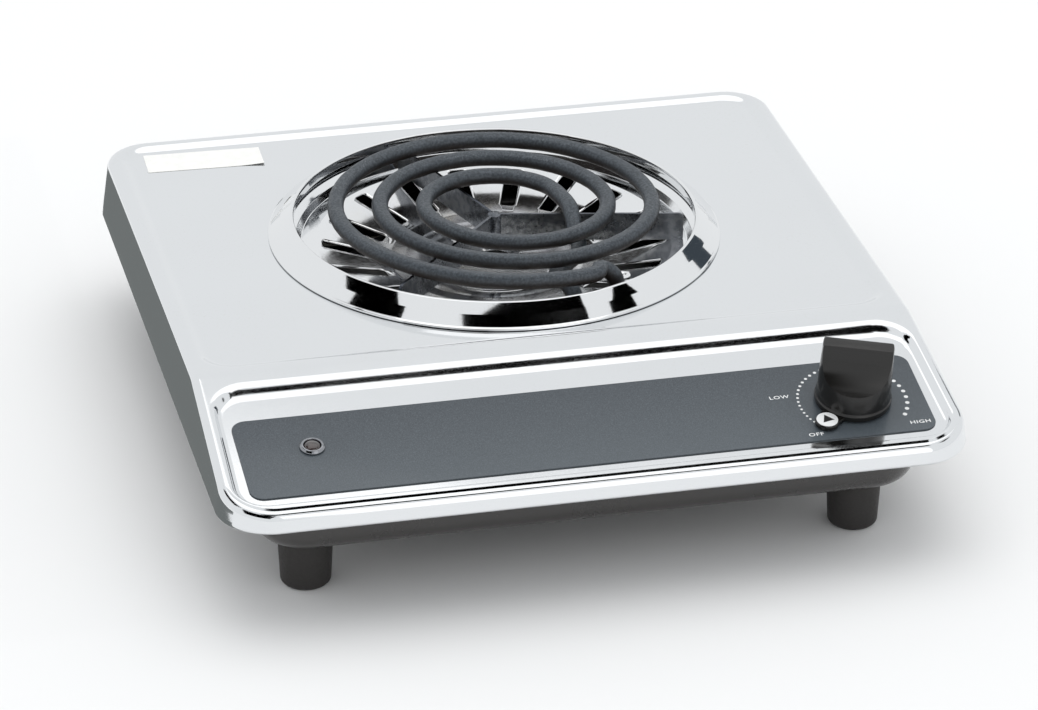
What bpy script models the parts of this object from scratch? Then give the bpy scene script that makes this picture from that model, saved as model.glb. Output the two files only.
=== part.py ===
"""A single-coil countertop hot plate: chrome shell, black base pan, lift-off trim ring,
tip-up heating element and a rotary heat control, each piece its own closed solid.

Metres, +Z up. The origin is on the table under the middle of the body, +X to the right
of someone facing the controls, and -Y towards that person."""

import bmesh
import bpy
from math import ceil, cos, degrees, pi, radians, sin, sqrt, tan
from mathutils import Matrix, Vector

MM = 0.001

# ---------------------------------------------------------------- driving dimensions
BODY_WIDTH = 323.0 * MM        # across the bottom edge of the chrome shell
BODY_DEPTH = 340.0 * MM
BODY_CORNER_R = 24.0 * MM
SHELL_EDGE_Z = 47.0 * MM       # bottom edge of the shell above the table
RIM_Z = 75.0 * MM              # crest of the rim round the cooking top
WALL_LEAN = 0.125              # inward lean of the walls per unit of height
RIM_R = 4.0 * MM               # outer rounding of the rim
EDGE_R = 1.6 * MM              # rounding of the bottom edge
HEM_WIDTH = 13.0 * MM          # flange turned in under the shell
SHELL_SHEET = 0.8 * MM
PAN_SHEET = 1.0 * MM
BOWL_SHEET = 0.7 * MM

CONTROL_TILT = radians(11.2)   # slope of the control tray towards the user
CONTROL_LENGTH = 94.7 * MM     # from the front edge back to where the level top starts
KINK_SOFTEN = 2.5 * MM
TOP_RECESS = 2.0 * MM          # cooking top below the rim
TRAY_RECESS = 3.0 * MM         # control tray below the sloping rim
PRESS_CORNER_R = 15.8 * MM     # corners of both recesses, in plan

BURNER_FROM_REAR = 129.4 * MM  # from the rear edge to the centre of the burner
RING_OUTER_R = 101.6 * MM
RING_INNER_R = 90.0 * MM
RING_RISE = 8.6 * MM           # the ring's inner edge above the cooking top
RING_SHEET = 0.8 * MM
RING_LIP = 4.5 * MM
BURNER_HOLE_R = 94.0 * MM

COIL_TUBE_R = 3.7 * MM
COIL_RISE = 10.5 * MM          # centreline of the coil's turns above the rim
COIL_FIRST_R = 31.5 * MM
COIL_PITCH = 19.8 * MM
COIL_STEP_START = radians(200) # each turn keeps its radius up to here, then steps outward
COIL_START = radians(22)
COIL_END = radians(1008)
LEG_ANGLE = radians(-67)       # where the coil's two legs leave the bowl
LEG_SPREAD = 9.0 * MM          # half the distance between the legs
LEG_DROP = 24.5 * MM           # the legs below the turns
LEG_END_R = 101.0 * MM         # from the burner centre
UNDERPASS_GAP = 1.8 * MM       # between the inner leg and the turns that it runs under
TIP_R = 104.0 * MM             # the element tips up about a line this far out
BLADE_SIZE = (13.0 * MM, 1.4 * MM, 4.6 * MM)
BLOCK_SIZE = (16.0 * MM, 44.0 * MM, 14.0 * MM)
BRACKET_WIDTH = 28.0 * MM      # narrower than the leads beside it are apart

ARM_ANGLE = radians(-12)       # first of the three support arms
ARM_SHEET = 1.3 * MM
ARM_HEIGHT = 13.0 * MM
ARM_REACH = 85.0 * MM
BOWL_SLOTS = 18
BOWL_SLOT_WIDTH = 7.0 * MM
BOWL_SLOT_IN = 52.0 * MM
BOWL_SLOT_OUT = 77.5 * MM
BOWL_FLANGE_R = 98.0 * MM
BOWL_DROP = 27.0 * MM          # the bowl's floor below the turns
SHIELD_R = 78.0 * MM
SHIELD_RISE = 15.0 * MM

FOOT_SIDE_INSET = 41.5 * MM
FOOT_END_INSET = 43.5 * MM
FOOT_TOP_R = 12.1 * MM
FOOT_BOTTOM_R = 10.7 * MM
FOOT_WELL_R = 5.2 * MM
FOOT_ROOF = 7.0 * MM           # rubber between the screw's head and the pan
PAN_Z = 28.0 * MM              # underside of the base pan
PAN_SIDE_INSET = 18.0 * MM
PAN_END_INSET = 15.0 * MM
PAN_EDGE_R = 9.0 * MM
PAN_CORNER_R = 22.0 * MM
SCREW_R = 1.9 * MM
SHELL_SCREW_SIDE_INSET = 8.5 * MM
SHELL_SCREW_END_INSET = 65.0 * MM
INLET_SIDE_INSET = 66.5 * MM
INLET_RISE = 10.0 * MM
INLET_R = 6.5 * MM

PLATE_MARGIN = 14.0 * MM       # from the body's side to the nameplate
PLATE_LENGTH = 51.5 * MM
PLATE_SHEET = 0.5 * MM
PLATE_FROM_FRONT = 40.0 * MM   # to the middle of the nameplate
DIAL_FROM_SIDE = 45.3 * MM
DIAL_FROM_FRONT = 38.5 * MM
PILOT_FROM_SIDE = 45.1 * MM
PILOT_FROM_FRONT = 44.0 * MM
PILOT_BODY_R = 4.3 * MM
KNOB_R = 15.6 * MM
KNOB_HEIGHT = 29.0 * MM
BAR_ANGLE = radians(-19)       # the grip bar at the off position
POINTER_ANGLE = radians(-137)
POINTER_R = 4.6 * MM
POINTER_REACH = 21.2 * MM
EAR_SHEET = 1.7 * MM           # the tab under the pointer
SHAFT_R = 3.0 * MM
BUSH_WALL = 1.7 * MM
SWITCH_SIZE = (34.0 * MM, 30.0 * MM, 17.0 * MM)
LEAD_R = 1.3 * MM
LABEL_SIZE = (54.0 * MM, 19.0 * MM, 0.2 * MM)
LABEL_SIDE_INSET = 33.0 * MM   # from the flat panel's edges to the label's middle
LABEL_REAR_INSET = 12.4 * MM

TOUCH_GAP = 0.3 * MM           # between pieces that rest on each other
THIN_GAP = 0.1 * MM            # under the nameplate and the label
RUNNING_GAP = 0.08 * MM        # between the turning shaft and its bush
HOLE_GAP = 0.3 * MM            # round what passes through a hole

# ---------------------------------------------------------------- derived sizes
HALF_W = BODY_WIDTH / 2
HALF_D = BODY_DEPTH / 2
KINK_Y = CONTROL_LENGTH - HALF_D
BURNER_Y = HALF_D - BURNER_FROM_REAR
TOP_Z = RIM_Z - TOP_RECESS
TILT = tan(CONTROL_TILT)
BURNER = Vector((0, BURNER_Y, 0))
COIL_Z = RIM_Z + COIL_RISE
LEG_Z = COIL_Z - LEG_DROP
UNDERPASS_Z = COIL_Z - 2 * COIL_TUBE_R - UNDERPASS_GAP
ARM_TOP_Z = COIL_Z - COIL_TUBE_R - TOUCH_GAP
ARM_BOTTOM_Z = ARM_TOP_Z - ARM_HEIGHT
LEDGE_Z = ARM_BOTTOM_Z - TOUCH_GAP
BOWL_FLOOR_Z = COIL_Z - BOWL_DROP
FLOOR_Z = PAN_Z + PAN_SHEET    # top of the base pan's bottom
FLANGE_Z = SHELL_EDGE_Z + SHELL_SHEET + TOUCH_GAP
FOOT_WELL_Z = PAN_Z - FOOT_ROOF
INLET_X = INLET_SIDE_INSET - HALF_W
INLET_Z = PAN_Z + INLET_RISE
PLATE_WIDTH = BODY_WIDTH - 2 * PLATE_MARGIN
PLATE_Y = PLATE_FROM_FRONT - HALF_D
PLATE_LIFT = THIN_GAP + PLATE_SHEET        # top of the nameplate above the tray
DIAL_X = HALF_W - DIAL_FROM_SIDE
CONTROL_Y = DIAL_FROM_FRONT - HALF_D
PILOT_X = PILOT_FROM_SIDE - HALF_W
PILOT_Y = PILOT_FROM_FRONT - HALF_D
KNOB_LIFT = PLATE_LIFT + 0.8 * MM
BUSH_R = SHAFT_R + BUSH_WALL
NUT_ACROSS = 2 * BUSH_R + 4.6 * MM

CORNERS = ((-1, -1, "front_left"), (1, -1, "front_right"), (-1, 1, "rear_left"), (1, 1, "rear_right"))


def at_corners(side_inset, end_inset):
    """(place, label) of a point this far in from the side and the end, at each corner of the body."""
    x, y = HALF_W - side_inset, HALF_D - end_inset
    return [((sx * x, sy * y, 0), label) for sx, sy, label in CORNERS]


SHELL_SCREW_PLACES = at_corners(SHELL_SCREW_SIDE_INSET, SHELL_SCREW_END_INSET)
FOOT_PLACES = at_corners(FOOT_SIDE_INSET, FOOT_END_INSET)


def rim_z(y):
    """Height of the rim: level over the cooking top, then sloping down over the controls."""
    past = KINK_Y + KINK_SOFTEN - y
    if past <= 0:
        return RIM_Z
    if past < 2 * KINK_SOFTEN:
        return RIM_Z - TILT * past * past / (4 * KINK_SOFTEN)
    return RIM_Z - TILT * (KINK_Y - y)


def crest_inset(y):
    """How far the rim's crest stands in from the shell's bottom edge, in plan."""
    return WALL_LEAN * (rim_z(y) - RIM_R - SHELL_EDGE_Z) + RIM_R


def recess_shapes():
    """(half width, front, back, corner) of the edge and the flat of the panel and of the tray."""
    side, front = HALF_W - crest_inset(HALF_D), HALF_D - crest_inset(-HALF_D)
    back = HALF_D - crest_inset(HALF_D)
    corner = PRESS_CORNER_R
    panel_edge = (side - 1.5 * MM, KINK_Y + 4.3 * MM, back - 1.5 * MM, corner)
    panel_flat = (side - 7.5 * MM, KINK_Y + 10.3 * MM, back - 7 * MM, corner - 5.8 * MM)
    tray_edge = (side - 1.3 * MM, 2 * MM - front, KINK_Y - 7.7 * MM, corner - 0.3 * MM)
    tray_flat = (side - 4.1 * MM, 5.3 * MM - front, KINK_Y - 15.7 * MM, corner - 3.8 * MM)
    return panel_edge, panel_flat, tray_edge, tray_flat


def rim_stretch(y):
    """The leaning walls are wider apart lower down, so the sloping end is wider."""
    return (HALF_W - WALL_LEAN * (rim_z(y) - SHELL_EDGE_Z)) / (HALF_W - WALL_LEAN * (RIM_Z - SHELL_EDGE_Z))


def on_rim(x, y, below=0.0):
    return Vector((x * rim_stretch(y), y, rim_z(y) - below))


def tray_frame(x, y):
    """Frame standing on the control tray's floor: local Z is the tray's normal, local Y runs up the slope."""
    return Matrix.Translation((x, y, rim_z(y) - TRAY_RECESS)) @ Matrix.Rotation(CONTROL_TILT, 4, "X")


def burner_frame(angle=0.0):
    return Matrix.Translation(BURNER) @ Matrix.Rotation(angle, 4, "Z")


# ---------------------------------------------------------------- scene and materials
def clear_scene():
    for obj in list(bpy.data.objects):
        bpy.data.objects.remove(obj, do_unlink=True)


def make_material(name, color, roughness, metallic=0.0):
    material = bpy.data.materials.new(name)
    material.use_nodes = True
    shader = material.node_tree.nodes["Principled BSDF"]
    shader.inputs["Base Color"].default_value = (*color, 1.0)
    shader.inputs["Roughness"].default_value = roughness
    shader.inputs["Metallic"].default_value = metallic
    return material


def make_materials():
    return {
        "chrome": make_material("chrome", (0.82, 0.83, 0.85), 0.08, 1.0),
        "enamel": make_material("black_enamel", (0.02, 0.02, 0.022), 0.35),
        "sheath": make_material("coil_sheath", (0.06, 0.065, 0.08), 0.5, 0.4),
        "spring_steel": make_material("plain_steel", (0.35, 0.35, 0.37), 0.3, 1.0),
        "plate": make_material("nameplate_blue_grey", (0.09, 0.11, 0.14), 0.25),
        "black": make_material("black_plastic", (0.015, 0.015, 0.016), 0.25),
        "rubber": make_material("black_rubber", (0.02, 0.02, 0.02), 0.7),
        "white": make_material("white_mark", (0.85, 0.85, 0.85), 0.4),
        "lens": make_material("pilot_lens", (0.25, 0.1, 0.06), 0.15),
        "zinc": make_material("zinc_steel", (0.6, 0.6, 0.58), 0.35, 1.0),
        "ceramic": make_material("ceramic", (0.8, 0.77, 0.7), 0.6),
        "wire": make_material("wire_sleeve", (0.75, 0.73, 0.68), 0.7),
        "label": make_material("paper_label", (0.85, 0.84, 0.8), 0.6),
        "aluminium": make_material("aluminium", (0.7, 0.7, 0.7), 0.35, 1.0),
    }


# ---------------------------------------------------------------- building blocks
def finish(name, bm, material, frame=None, smooth_under=radians(35)):
    """Turns a bmesh into a named object, placed by its frame and shaded smooth under an angle."""
    mesh = bpy.data.meshes.new(name)
    bm.to_mesh(mesh)
    bm.free()
    mesh.shade_smooth()
    mesh.set_sharp_from_angle(angle=smooth_under)
    obj = bpy.data.objects.new(name, mesh)
    bpy.context.scene.collection.objects.link(obj)
    if material:
        mesh.materials.append(material)
    if frame is not None:
        obj.matrix_world = frame
    return obj


def facing_out(bm):
    bmesh.ops.recalc_face_normals(bm, faces=bm.faces)
    return bm


def turned(profile, segments=48, ring=False):
    """Turns (radius, z) points about the Z axis. A ring's profile is a closed loop off the axis."""
    bm = bmesh.new()
    rows = []
    for radius, z in profile:
        if radius < 1e-9:
            rows.append([bm.verts.new((0, 0, z))] * segments)
            continue
        turn = [2 * pi * k / segments for k in range(segments)]
        rows.append([bm.verts.new((radius * cos(a), radius * sin(a), z)) for a in turn])
    pairs = list(zip(rows, rows[1:] + rows[:1])) if ring else list(zip(rows, rows[1:]))
    for low, high in pairs:
        for k in range(segments):
            n = (k + 1) % segments
            corners = []
            for vert in (low[k], low[n], high[n], high[k]):
                if vert not in corners:
                    corners.append(vert)
            bm.faces.new(corners)
    return facing_out(bm)


def block(size, centre=(0, 0, 0)):
    bm = bmesh.new()
    bmesh.ops.create_cube(bm, size=1.0)
    bmesh.ops.scale(bm, vec=size, verts=bm.verts)
    bmesh.ops.translate(bm, vec=centre, verts=bm.verts)
    return bm


def outline(half_x, y_low, y_high, corner, steps=6, stops=()):
    """(point, outward direction) round a rounded rectangle, with points at the stops on both sides."""
    around = []
    stops = sorted(stops)
    corners = (
        (half_x - corner, y_low + corner, -90, stops),
        (half_x - corner, y_high - corner, 0, ()),
        (-half_x + corner, y_high - corner, 90, stops[::-1]),
        (-half_x + corner, y_low + corner, 180, ()),
    )
    for x, y, start, side_stops in corners:
        for k in range(steps + 1):
            angle = radians(start + 90 * k / steps)
            way = Vector((cos(angle), sin(angle)))
            around.append((Vector((x, y)) + way * corner, way))
        side = Vector((1 if start == -90 else -1, 0))
        around += [(Vector((side.x * half_x, stop)), side) for stop in side_stops]
    return around


def skin(bm, rows, closed=True):
    """Faces between rows of points that run the same way round."""
    made = [[bm.verts.new(point) for point in row] for row in rows]
    for low, high in zip(made, made[1:]):
        count = len(low)
        for k in range(count if closed else count - 1):
            n = (k + 1) % count
            bm.faces.new((low[k], low[n], high[n], high[k]))
    return made


def loop_edges(bm, verts):
    edges = []
    for a, b in zip(verts, verts[1:] + verts[:1]):
        edges.append(bm.edges.get((a, b)) or bm.edges.new((a, b)))
    return edges


def fill_between(bm, outer, holes):
    """Triangulates the area inside one loop and outside the others, seen from above."""
    loops = [outer, *holes]
    kept = {vert: vert.co.z for loop in loops for vert in loop}
    for vert in kept:
        vert.co.z = 0
    edges = [edge for loop in loops for edge in loop_edges(bm, loop)]
    bmesh.ops.triangle_fill(bm, use_beauty=True, edges=edges)
    for vert, z in kept.items():
        vert.co.z = z


def between(first, second, share):
    return [a.lerp(b, share) for a, b in zip(first, second)]


def s_curve(share):
    return share * share * (3 - 2 * share)


def add_solidify(obj, thickness):
    solid = obj.modifiers.new("sheet", "SOLIDIFY")
    solid.thickness = thickness
    solid.offset = -1
    solid.use_even_offset = True


def combine(obj, other, operation):
    boolean = obj.modifiers.new(operation.lower(), "BOOLEAN")
    boolean.operation = operation
    boolean.object = other
    other.hide_render = True
    other.display_type = "WIRE"


def cut(obj, bm, frame=None, name="cutter"):
    combine(obj, finish(f"{obj.name}_{name}", bm, None, frame), "DIFFERENCE")


def join(obj, bm, frame=None, name="joined"):
    combine(obj, finish(f"{obj.name}_{name}", bm, None, frame), "UNION")


def rod(radius, low, high, segments=24):
    return turned([(0, low), (radius, low), (radius, high), (0, high)], segments)


def tube(name, points, radius, material, sides=2):
    curve = bpy.data.curves.new(name, "CURVE")
    curve.dimensions = "3D"
    curve.bevel_depth = radius
    curve.bevel_resolution = sides
    curve.use_fill_caps = True
    spline = curve.splines.new("POLY")
    spline.points.add(len(points) - 1)
    for slot, point in zip(spline.points, points):
        slot.co = (*point, 1)
    obj = bpy.data.objects.new(name, curve)
    bpy.context.scene.collection.objects.link(obj)
    curve.materials.append(material)
    return obj


def smooth_path(points, step):
    """Evenly spaced points on a Catmull-Rom curve through the given ones."""
    points = [Vector(p) for p in points]
    padded = [2 * points[0] - points[1], *points, 2 * points[-1] - points[-2]]
    path = [points[0]]
    for a, b, c, d in zip(padded, padded[1:], padded[2:], padded[3:]):
        count = max(1, ceil((c - b).length / step))
        for k in range(1, count + 1):
            t = k / count
            near = 2 * b + (c - a) * t + (2 * a - 5 * b + 4 * c - d) * t**2
            path.append((near + (3 * b - 3 * c + d - a) * t**3) / 2)
    return path


# ---------------------------------------------------------------- chrome shell
SIDE_STOPS = [KINK_Y + k * KINK_SOFTEN for k in (-1, 0, 1)]


def wall_rows():
    """Rows of the shell's outside, from the hem under it up over the rounded rim."""
    plan = outline(HALF_W, -HALF_D, HALF_D, BODY_CORNER_R, 8, SIDE_STOPS)

    def row(inset, height):
        points = [p - way * inset(p.y) for p, way in plan]
        return [(*point, height(point.y)) for point in points]

    rows = [row(lambda y: HEM_WIDTH, lambda y: SHELL_EDGE_Z)]
    for turn in (0, 45, 90):
        a = radians(turn)
        rows.append(row(lambda y: EDGE_R * (1 - sin(a)), lambda y: SHELL_EDGE_Z + EDGE_R * (1 - cos(a))))
    for turn in (0, 22.5, 45, 67.5, 90):
        a = radians(turn)
        rows.append(row(lambda y: crest_inset(y) - RIM_R * cos(a), lambda y: rim_z(y) - RIM_R * (1 - sin(a))))
    return rows


def recess_rows(edge, flat, depth):
    """Rows from a recess's edge on the rim down an S-shaped slope to its flat."""
    top = [on_rim(*p) for p, _ in outline(*edge)]
    low = [on_rim(*p, depth) for p, _ in outline(*flat)]
    rows = []
    for share in (0, 0.25, 0.5, 0.75, 1):
        row = between(top, low, share)
        for point, a, b in zip(row, outline(*edge), outline(*flat)):
            y = a[0].y + (b[0].y - a[0].y) * share
            point.z = rim_z(y) - depth * s_curve(share)
        rows.append(row)
    return rows


def circle_points(radius, z, segments=64):
    turn = [2 * pi * k / segments for k in range(segments)]
    return [Vector((radius * cos(a), BURNER_Y + radius * sin(a), z)) for a in turn]


def make_top_shell(material):
    bm = bmesh.new()
    wall = skin(bm, wall_rows())
    panel_edge, panel_flat, tray_edge, tray_flat = recess_shapes()
    panel = skin(bm, recess_rows(panel_edge, panel_flat, TOP_RECESS))
    tray = skin(bm, recess_rows(tray_edge, tray_flat, TRAY_RECESS))
    hole = [bm.verts.new(p) for p in circle_points(BURNER_HOLE_R, TOP_Z)]
    fill_between(bm, wall[-1], [panel[0], tray[0]])
    fill_between(bm, panel[-1], [hole])
    bm.faces.new(tray[-1])
    facing_out(bm)
    bm.faces.ensure_lookup_table()
    if max(bm.faces, key=lambda f: f.calc_center_median().z).normal.z < 0:
        bmesh.ops.reverse_faces(bm, faces=bm.faces)
    shell = finish("top_shell", bm, material)
    add_solidify(shell, SHELL_SHEET)
    reach = 12 * MM
    cut(shell, rod(BUSH_R + HOLE_GAP, -reach, reach), tray_frame(DIAL_X, CONTROL_Y), "shaft_hole")
    cut(shell, rod(PILOT_BODY_R + HOLE_GAP, -reach, reach), tray_frame(PILOT_X, PILOT_Y), "pilot_hole")
    for place, label in SHELL_SCREW_PLACES:
        hole = rod(SCREW_R + HOLE_GAP, SHELL_EDGE_Z - 5 * MM, SHELL_EDGE_Z + 5 * MM, 16)
        cut(shell, hole, Matrix.Translation(place), f"hole_{label}")
    return shell


# ---------------------------------------------------------------- base pan, feet, screws
def pan_rows():
    """Rows of the base pan's outside, from the flange's edge down the wall to the bottom."""
    half_x = HALF_W - PAN_SIDE_INSET
    half_y = HALF_D - PAN_END_INSET
    wall = outline(half_x, -half_y, half_y, PAN_CORNER_R)
    flange_out = min(PAN_SIDE_INSET, PAN_END_INSET) - 4 * MM
    bend = 1.5 * MM

    def row(inset, z):
        return [(*(p - way * inset), z) for p, way in wall]

    rows = [row(-flange_out, FLANGE_Z), row(-bend, FLANGE_Z), row(-0.3 * bend, FLANGE_Z - 0.3 * bend)]
    rows.append(row(0, FLANGE_Z - bend))
    for turn in (0, 22.5, 45, 67.5, 90):
        a = radians(turn)
        rows.append(row(1 * MM + PAN_EDGE_R * (1 - cos(a)), PAN_Z + PAN_EDGE_R * (1 - sin(a))))
    return rows


def vent_slots():
    bm = bmesh.new()
    for side in (-1, 1):
        for k in range(9):
            slot = block((4 * MM, 26 * MM, 8 * MM), ((k - 4) * 14 * MM, side * 108 * MM, PAN_Z))
            mesh = bpy.data.meshes.new("slot")
            slot.to_mesh(mesh)
            slot.free()
            bm.from_mesh(mesh)
            bpy.data.meshes.remove(mesh)
    return bm


def inlet_frame():
    """On the outside of the pan's rear wall, with local Z pointing out of it."""
    place = Matrix.Translation((INLET_X, HALF_D - PAN_END_INSET, INLET_Z))
    return place @ Matrix.Rotation(-pi / 2, 4, "X")


def make_base_pan(material):
    bm = bmesh.new()
    rows = skin(bm, pan_rows())
    bm.faces.new(rows[-1])
    facing_out(bm)
    if min(bm.faces, key=lambda f: f.calc_center_median().z).normal.z > 0:
        bmesh.ops.reverse_faces(bm, faces=bm.faces)
    pan = finish("base_pan", bm, material)
    add_solidify(pan, PAN_SHEET)
    cut(pan, vent_slots(), None, "vents")
    for place, label in SHELL_SCREW_PLACES:
        hole = rod(SCREW_R + HOLE_GAP, FLANGE_Z - 5 * MM, FLANGE_Z + 5 * MM, 16)
        cut(pan, hole, Matrix.Translation(place), f"hole_{label}")
    for place, label in FOOT_PLACES:
        hole = rod(SCREW_R + HOLE_GAP, PAN_Z - 5 * MM, PAN_Z + 5 * MM, 16)
        cut(pan, hole, Matrix.Translation(place), f"foot_{label}")
    cut(pan, rod(INLET_R + HOLE_GAP, -8 * MM, 8 * MM), inlet_frame(), "inlet")
    return pan


def make_feet(material):
    height = PAN_Z - TOUCH_GAP
    edge = 3.0 * MM
    profile = [(FOOT_WELL_R, 0), (FOOT_BOTTOM_R - edge, 0)]
    for turn in (30, 60, 90):
        a = radians(turn)
        profile.append((FOOT_BOTTOM_R - edge * (1 - sin(a)), edge * (1 - cos(a))))
    profile += [(FOOT_TOP_R - 0.4 * MM, height - 3 * MM), (FOOT_TOP_R, height)]
    profile += [(SCREW_R + HOLE_GAP, height), (SCREW_R + HOLE_GAP, FOOT_WELL_Z), (FOOT_WELL_R, FOOT_WELL_Z)]
    for place, label in FOOT_PLACES:
        finish(f"foot_{label}", turned(profile, 20, ring=True), material, Matrix.Translation(place))


def screw_profile(seat, shank_end, head_r=4.2 * MM, head=2.4 * MM):
    """A round-headed screw pointing up: its head is under the seat."""
    return [
        (0, seat - head),
        (0.7 * head_r, seat - 0.9 * head),
        (head_r, seat - 0.35 * head),
        (head_r, seat),
        (SCREW_R, seat),
        (SCREW_R, shank_end - 0.6 * MM),
        (SCREW_R - 0.6 * MM, shank_end),
        (0, shank_end),
    ]


def nut_blank(corner_r, height, bore, sides):
    """A nut or washer with this many sides, standing on z = 0."""
    return turned([(corner_r, 0), (corner_r, height), (bore, height), (bore, 0)], sides, ring=True)


def make_screws(material):
    for place, label in FOOT_PLACES:
        profile = screw_profile(FOOT_WELL_Z - TOUCH_GAP, FLOOR_Z + 5 * MM)
        finish(f"foot_screw_{label}", turned(profile, 12), material, Matrix.Translation(place))
        nut = nut_blank(SCREW_R + 2 * MM, 2.6 * MM, SCREW_R + 0.2 * MM, 12)
        seat = Vector(place) + Vector((0, 0, FLOOR_Z + TOUCH_GAP))
        finish(f"foot_nut_{label}", nut, material, Matrix.Translation(seat))
    for place, label in SHELL_SCREW_PLACES:
        profile = screw_profile(SHELL_EDGE_Z - TOUCH_GAP, FLANGE_Z + PAN_SHEET + 3 * MM, 3.6 * MM, 1.8 * MM)
        finish(f"shell_screw_{label}", turned(profile, 12), material, Matrix.Translation(place))


def make_cord_inlet(material):
    """A flanged bush in the pan's rear wall for the power cord."""
    bore = 3.8 * MM
    lip = INLET_R + 1.6 * MM
    outside = TOUCH_GAP
    inside = -(PAN_SHEET + TOUCH_GAP + 1 * MM)
    profile = [(bore, outside + 2.5 * MM), (bore, inside - 7 * MM), (INLET_R - 1 * MM, inside - 7 * MM)]
    profile += [(INLET_R, inside - 6 * MM), (INLET_R, outside), (lip, outside), (lip, outside + 1.7 * MM)]
    profile += [(lip - 0.8 * MM, outside + 2.5 * MM)]
    finish("cord_inlet_bush", turned(profile, 24, ring=True), material, inlet_frame())


# ---------------------------------------------------------------- trim ring and drip bowl
def make_trim_ring(material):
    seat = TOP_Z + TOUCH_GAP
    sheet = RING_SHEET
    crest = TOP_Z + RING_RISE + sheet
    inner = RING_INNER_R
    outside = [
        (RING_OUTER_R, seat),
        (RING_OUTER_R, seat + 0.5 * MM),
        (RING_OUTER_R - 0.8 * MM, seat + sheet + 0.4 * MM),
        (inner + 1.6 * MM, crest - 0.3 * MM),
        (inner + 0.7 * MM, crest),
        (inner + 0.1 * MM, crest - 0.3 * MM),
        (inner, crest - 1 * MM),
        (inner, crest - RING_LIP),
    ]
    inside = [
        (inner + sheet, crest - RING_LIP),
        (inner + sheet, crest - 1.3 * MM),
        (inner + 1.4 * MM, crest - 1.3 * MM),
        (RING_OUTER_R - 1.6 * MM, seat),
    ]
    finish("trim_ring", turned(outside + inside, 60, ring=True), material, burner_frame())


def bowl_top_profile():
    """The bowl's upper face from the middle hole out to its flange."""
    flange = TOP_Z + TOUCH_GAP + BOWL_SHEET
    return [
        (9 * MM, BOWL_FLOOR_Z),
        (40 * MM, BOWL_FLOOR_Z),
        (47 * MM, BOWL_FLOOR_Z + 0.9 * MM),
        (78 * MM, LEDGE_Z - 0.6 * MM),
        (80 * MM, LEDGE_Z),
        (87.2 * MM, LEDGE_Z),
        (88.6 * MM, LEDGE_Z + 0.8 * MM),
        (91.6 * MM, flange - 0.8 * MM),
        (93.0 * MM, flange),
        (BOWL_FLANGE_R, flange),
    ]


def make_drip_bowl(material):
    top = bowl_top_profile()
    low = [(r - (0.5 * BOWL_SHEET if 88 * MM < r < 92 * MM else 0), z - BOWL_SHEET) for r, z in reversed(top)]
    low[1] = (93.0 * MM - 0.3 * BOWL_SHEET, low[1][1])
    low[2] = (91.6 * MM - 0.6 * BOWL_SHEET, low[2][1])
    bowl = finish("drip_bowl", turned(top[::-1] + low[::-1], 48, ring=True), material, burner_frame())
    length = BOWL_SLOT_OUT - BOWL_SLOT_IN
    leg_way = degrees(LEG_ANGLE) % 360
    for k in range(BOWL_SLOTS):
        angle = 360 * (k + 0.5) / BOWL_SLOTS
        if abs((angle - leg_way + 180) % 360 - 180) < 16:
            continue
        middle = ((BOWL_SLOT_IN + BOWL_SLOT_OUT) / 2, 0, BOWL_FLOOR_Z + 5 * MM)
        slot = block((length, BOWL_SLOT_WIDTH, 30 * MM), middle)
        cut(bowl, slot, burner_frame(radians(angle)), f"slot_{k}")
    width = 2 * (LEG_SPREAD + COIL_TUBE_R + 2.2 * MM)
    low, high = BOWL_FLOOR_Z - 3.7 * MM, TOP_Z - 0.2 * MM
    notch = block((26 * MM, width, high - low), (81 * MM, 0, (low + high) / 2))
    cut(bowl, notch, burner_frame(LEG_ANGLE), "leg_notch")
    return bowl


# ---------------------------------------------------------------- heating element
def turn_radius(angle):
    turns, phase = divmod(angle, 2 * pi)
    step = max(0.0, (phase - COIL_STEP_START) / (2 * pi - COIL_STEP_START))
    return COIL_FIRST_R + COIL_PITCH * (turns + s_curve(step))


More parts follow.
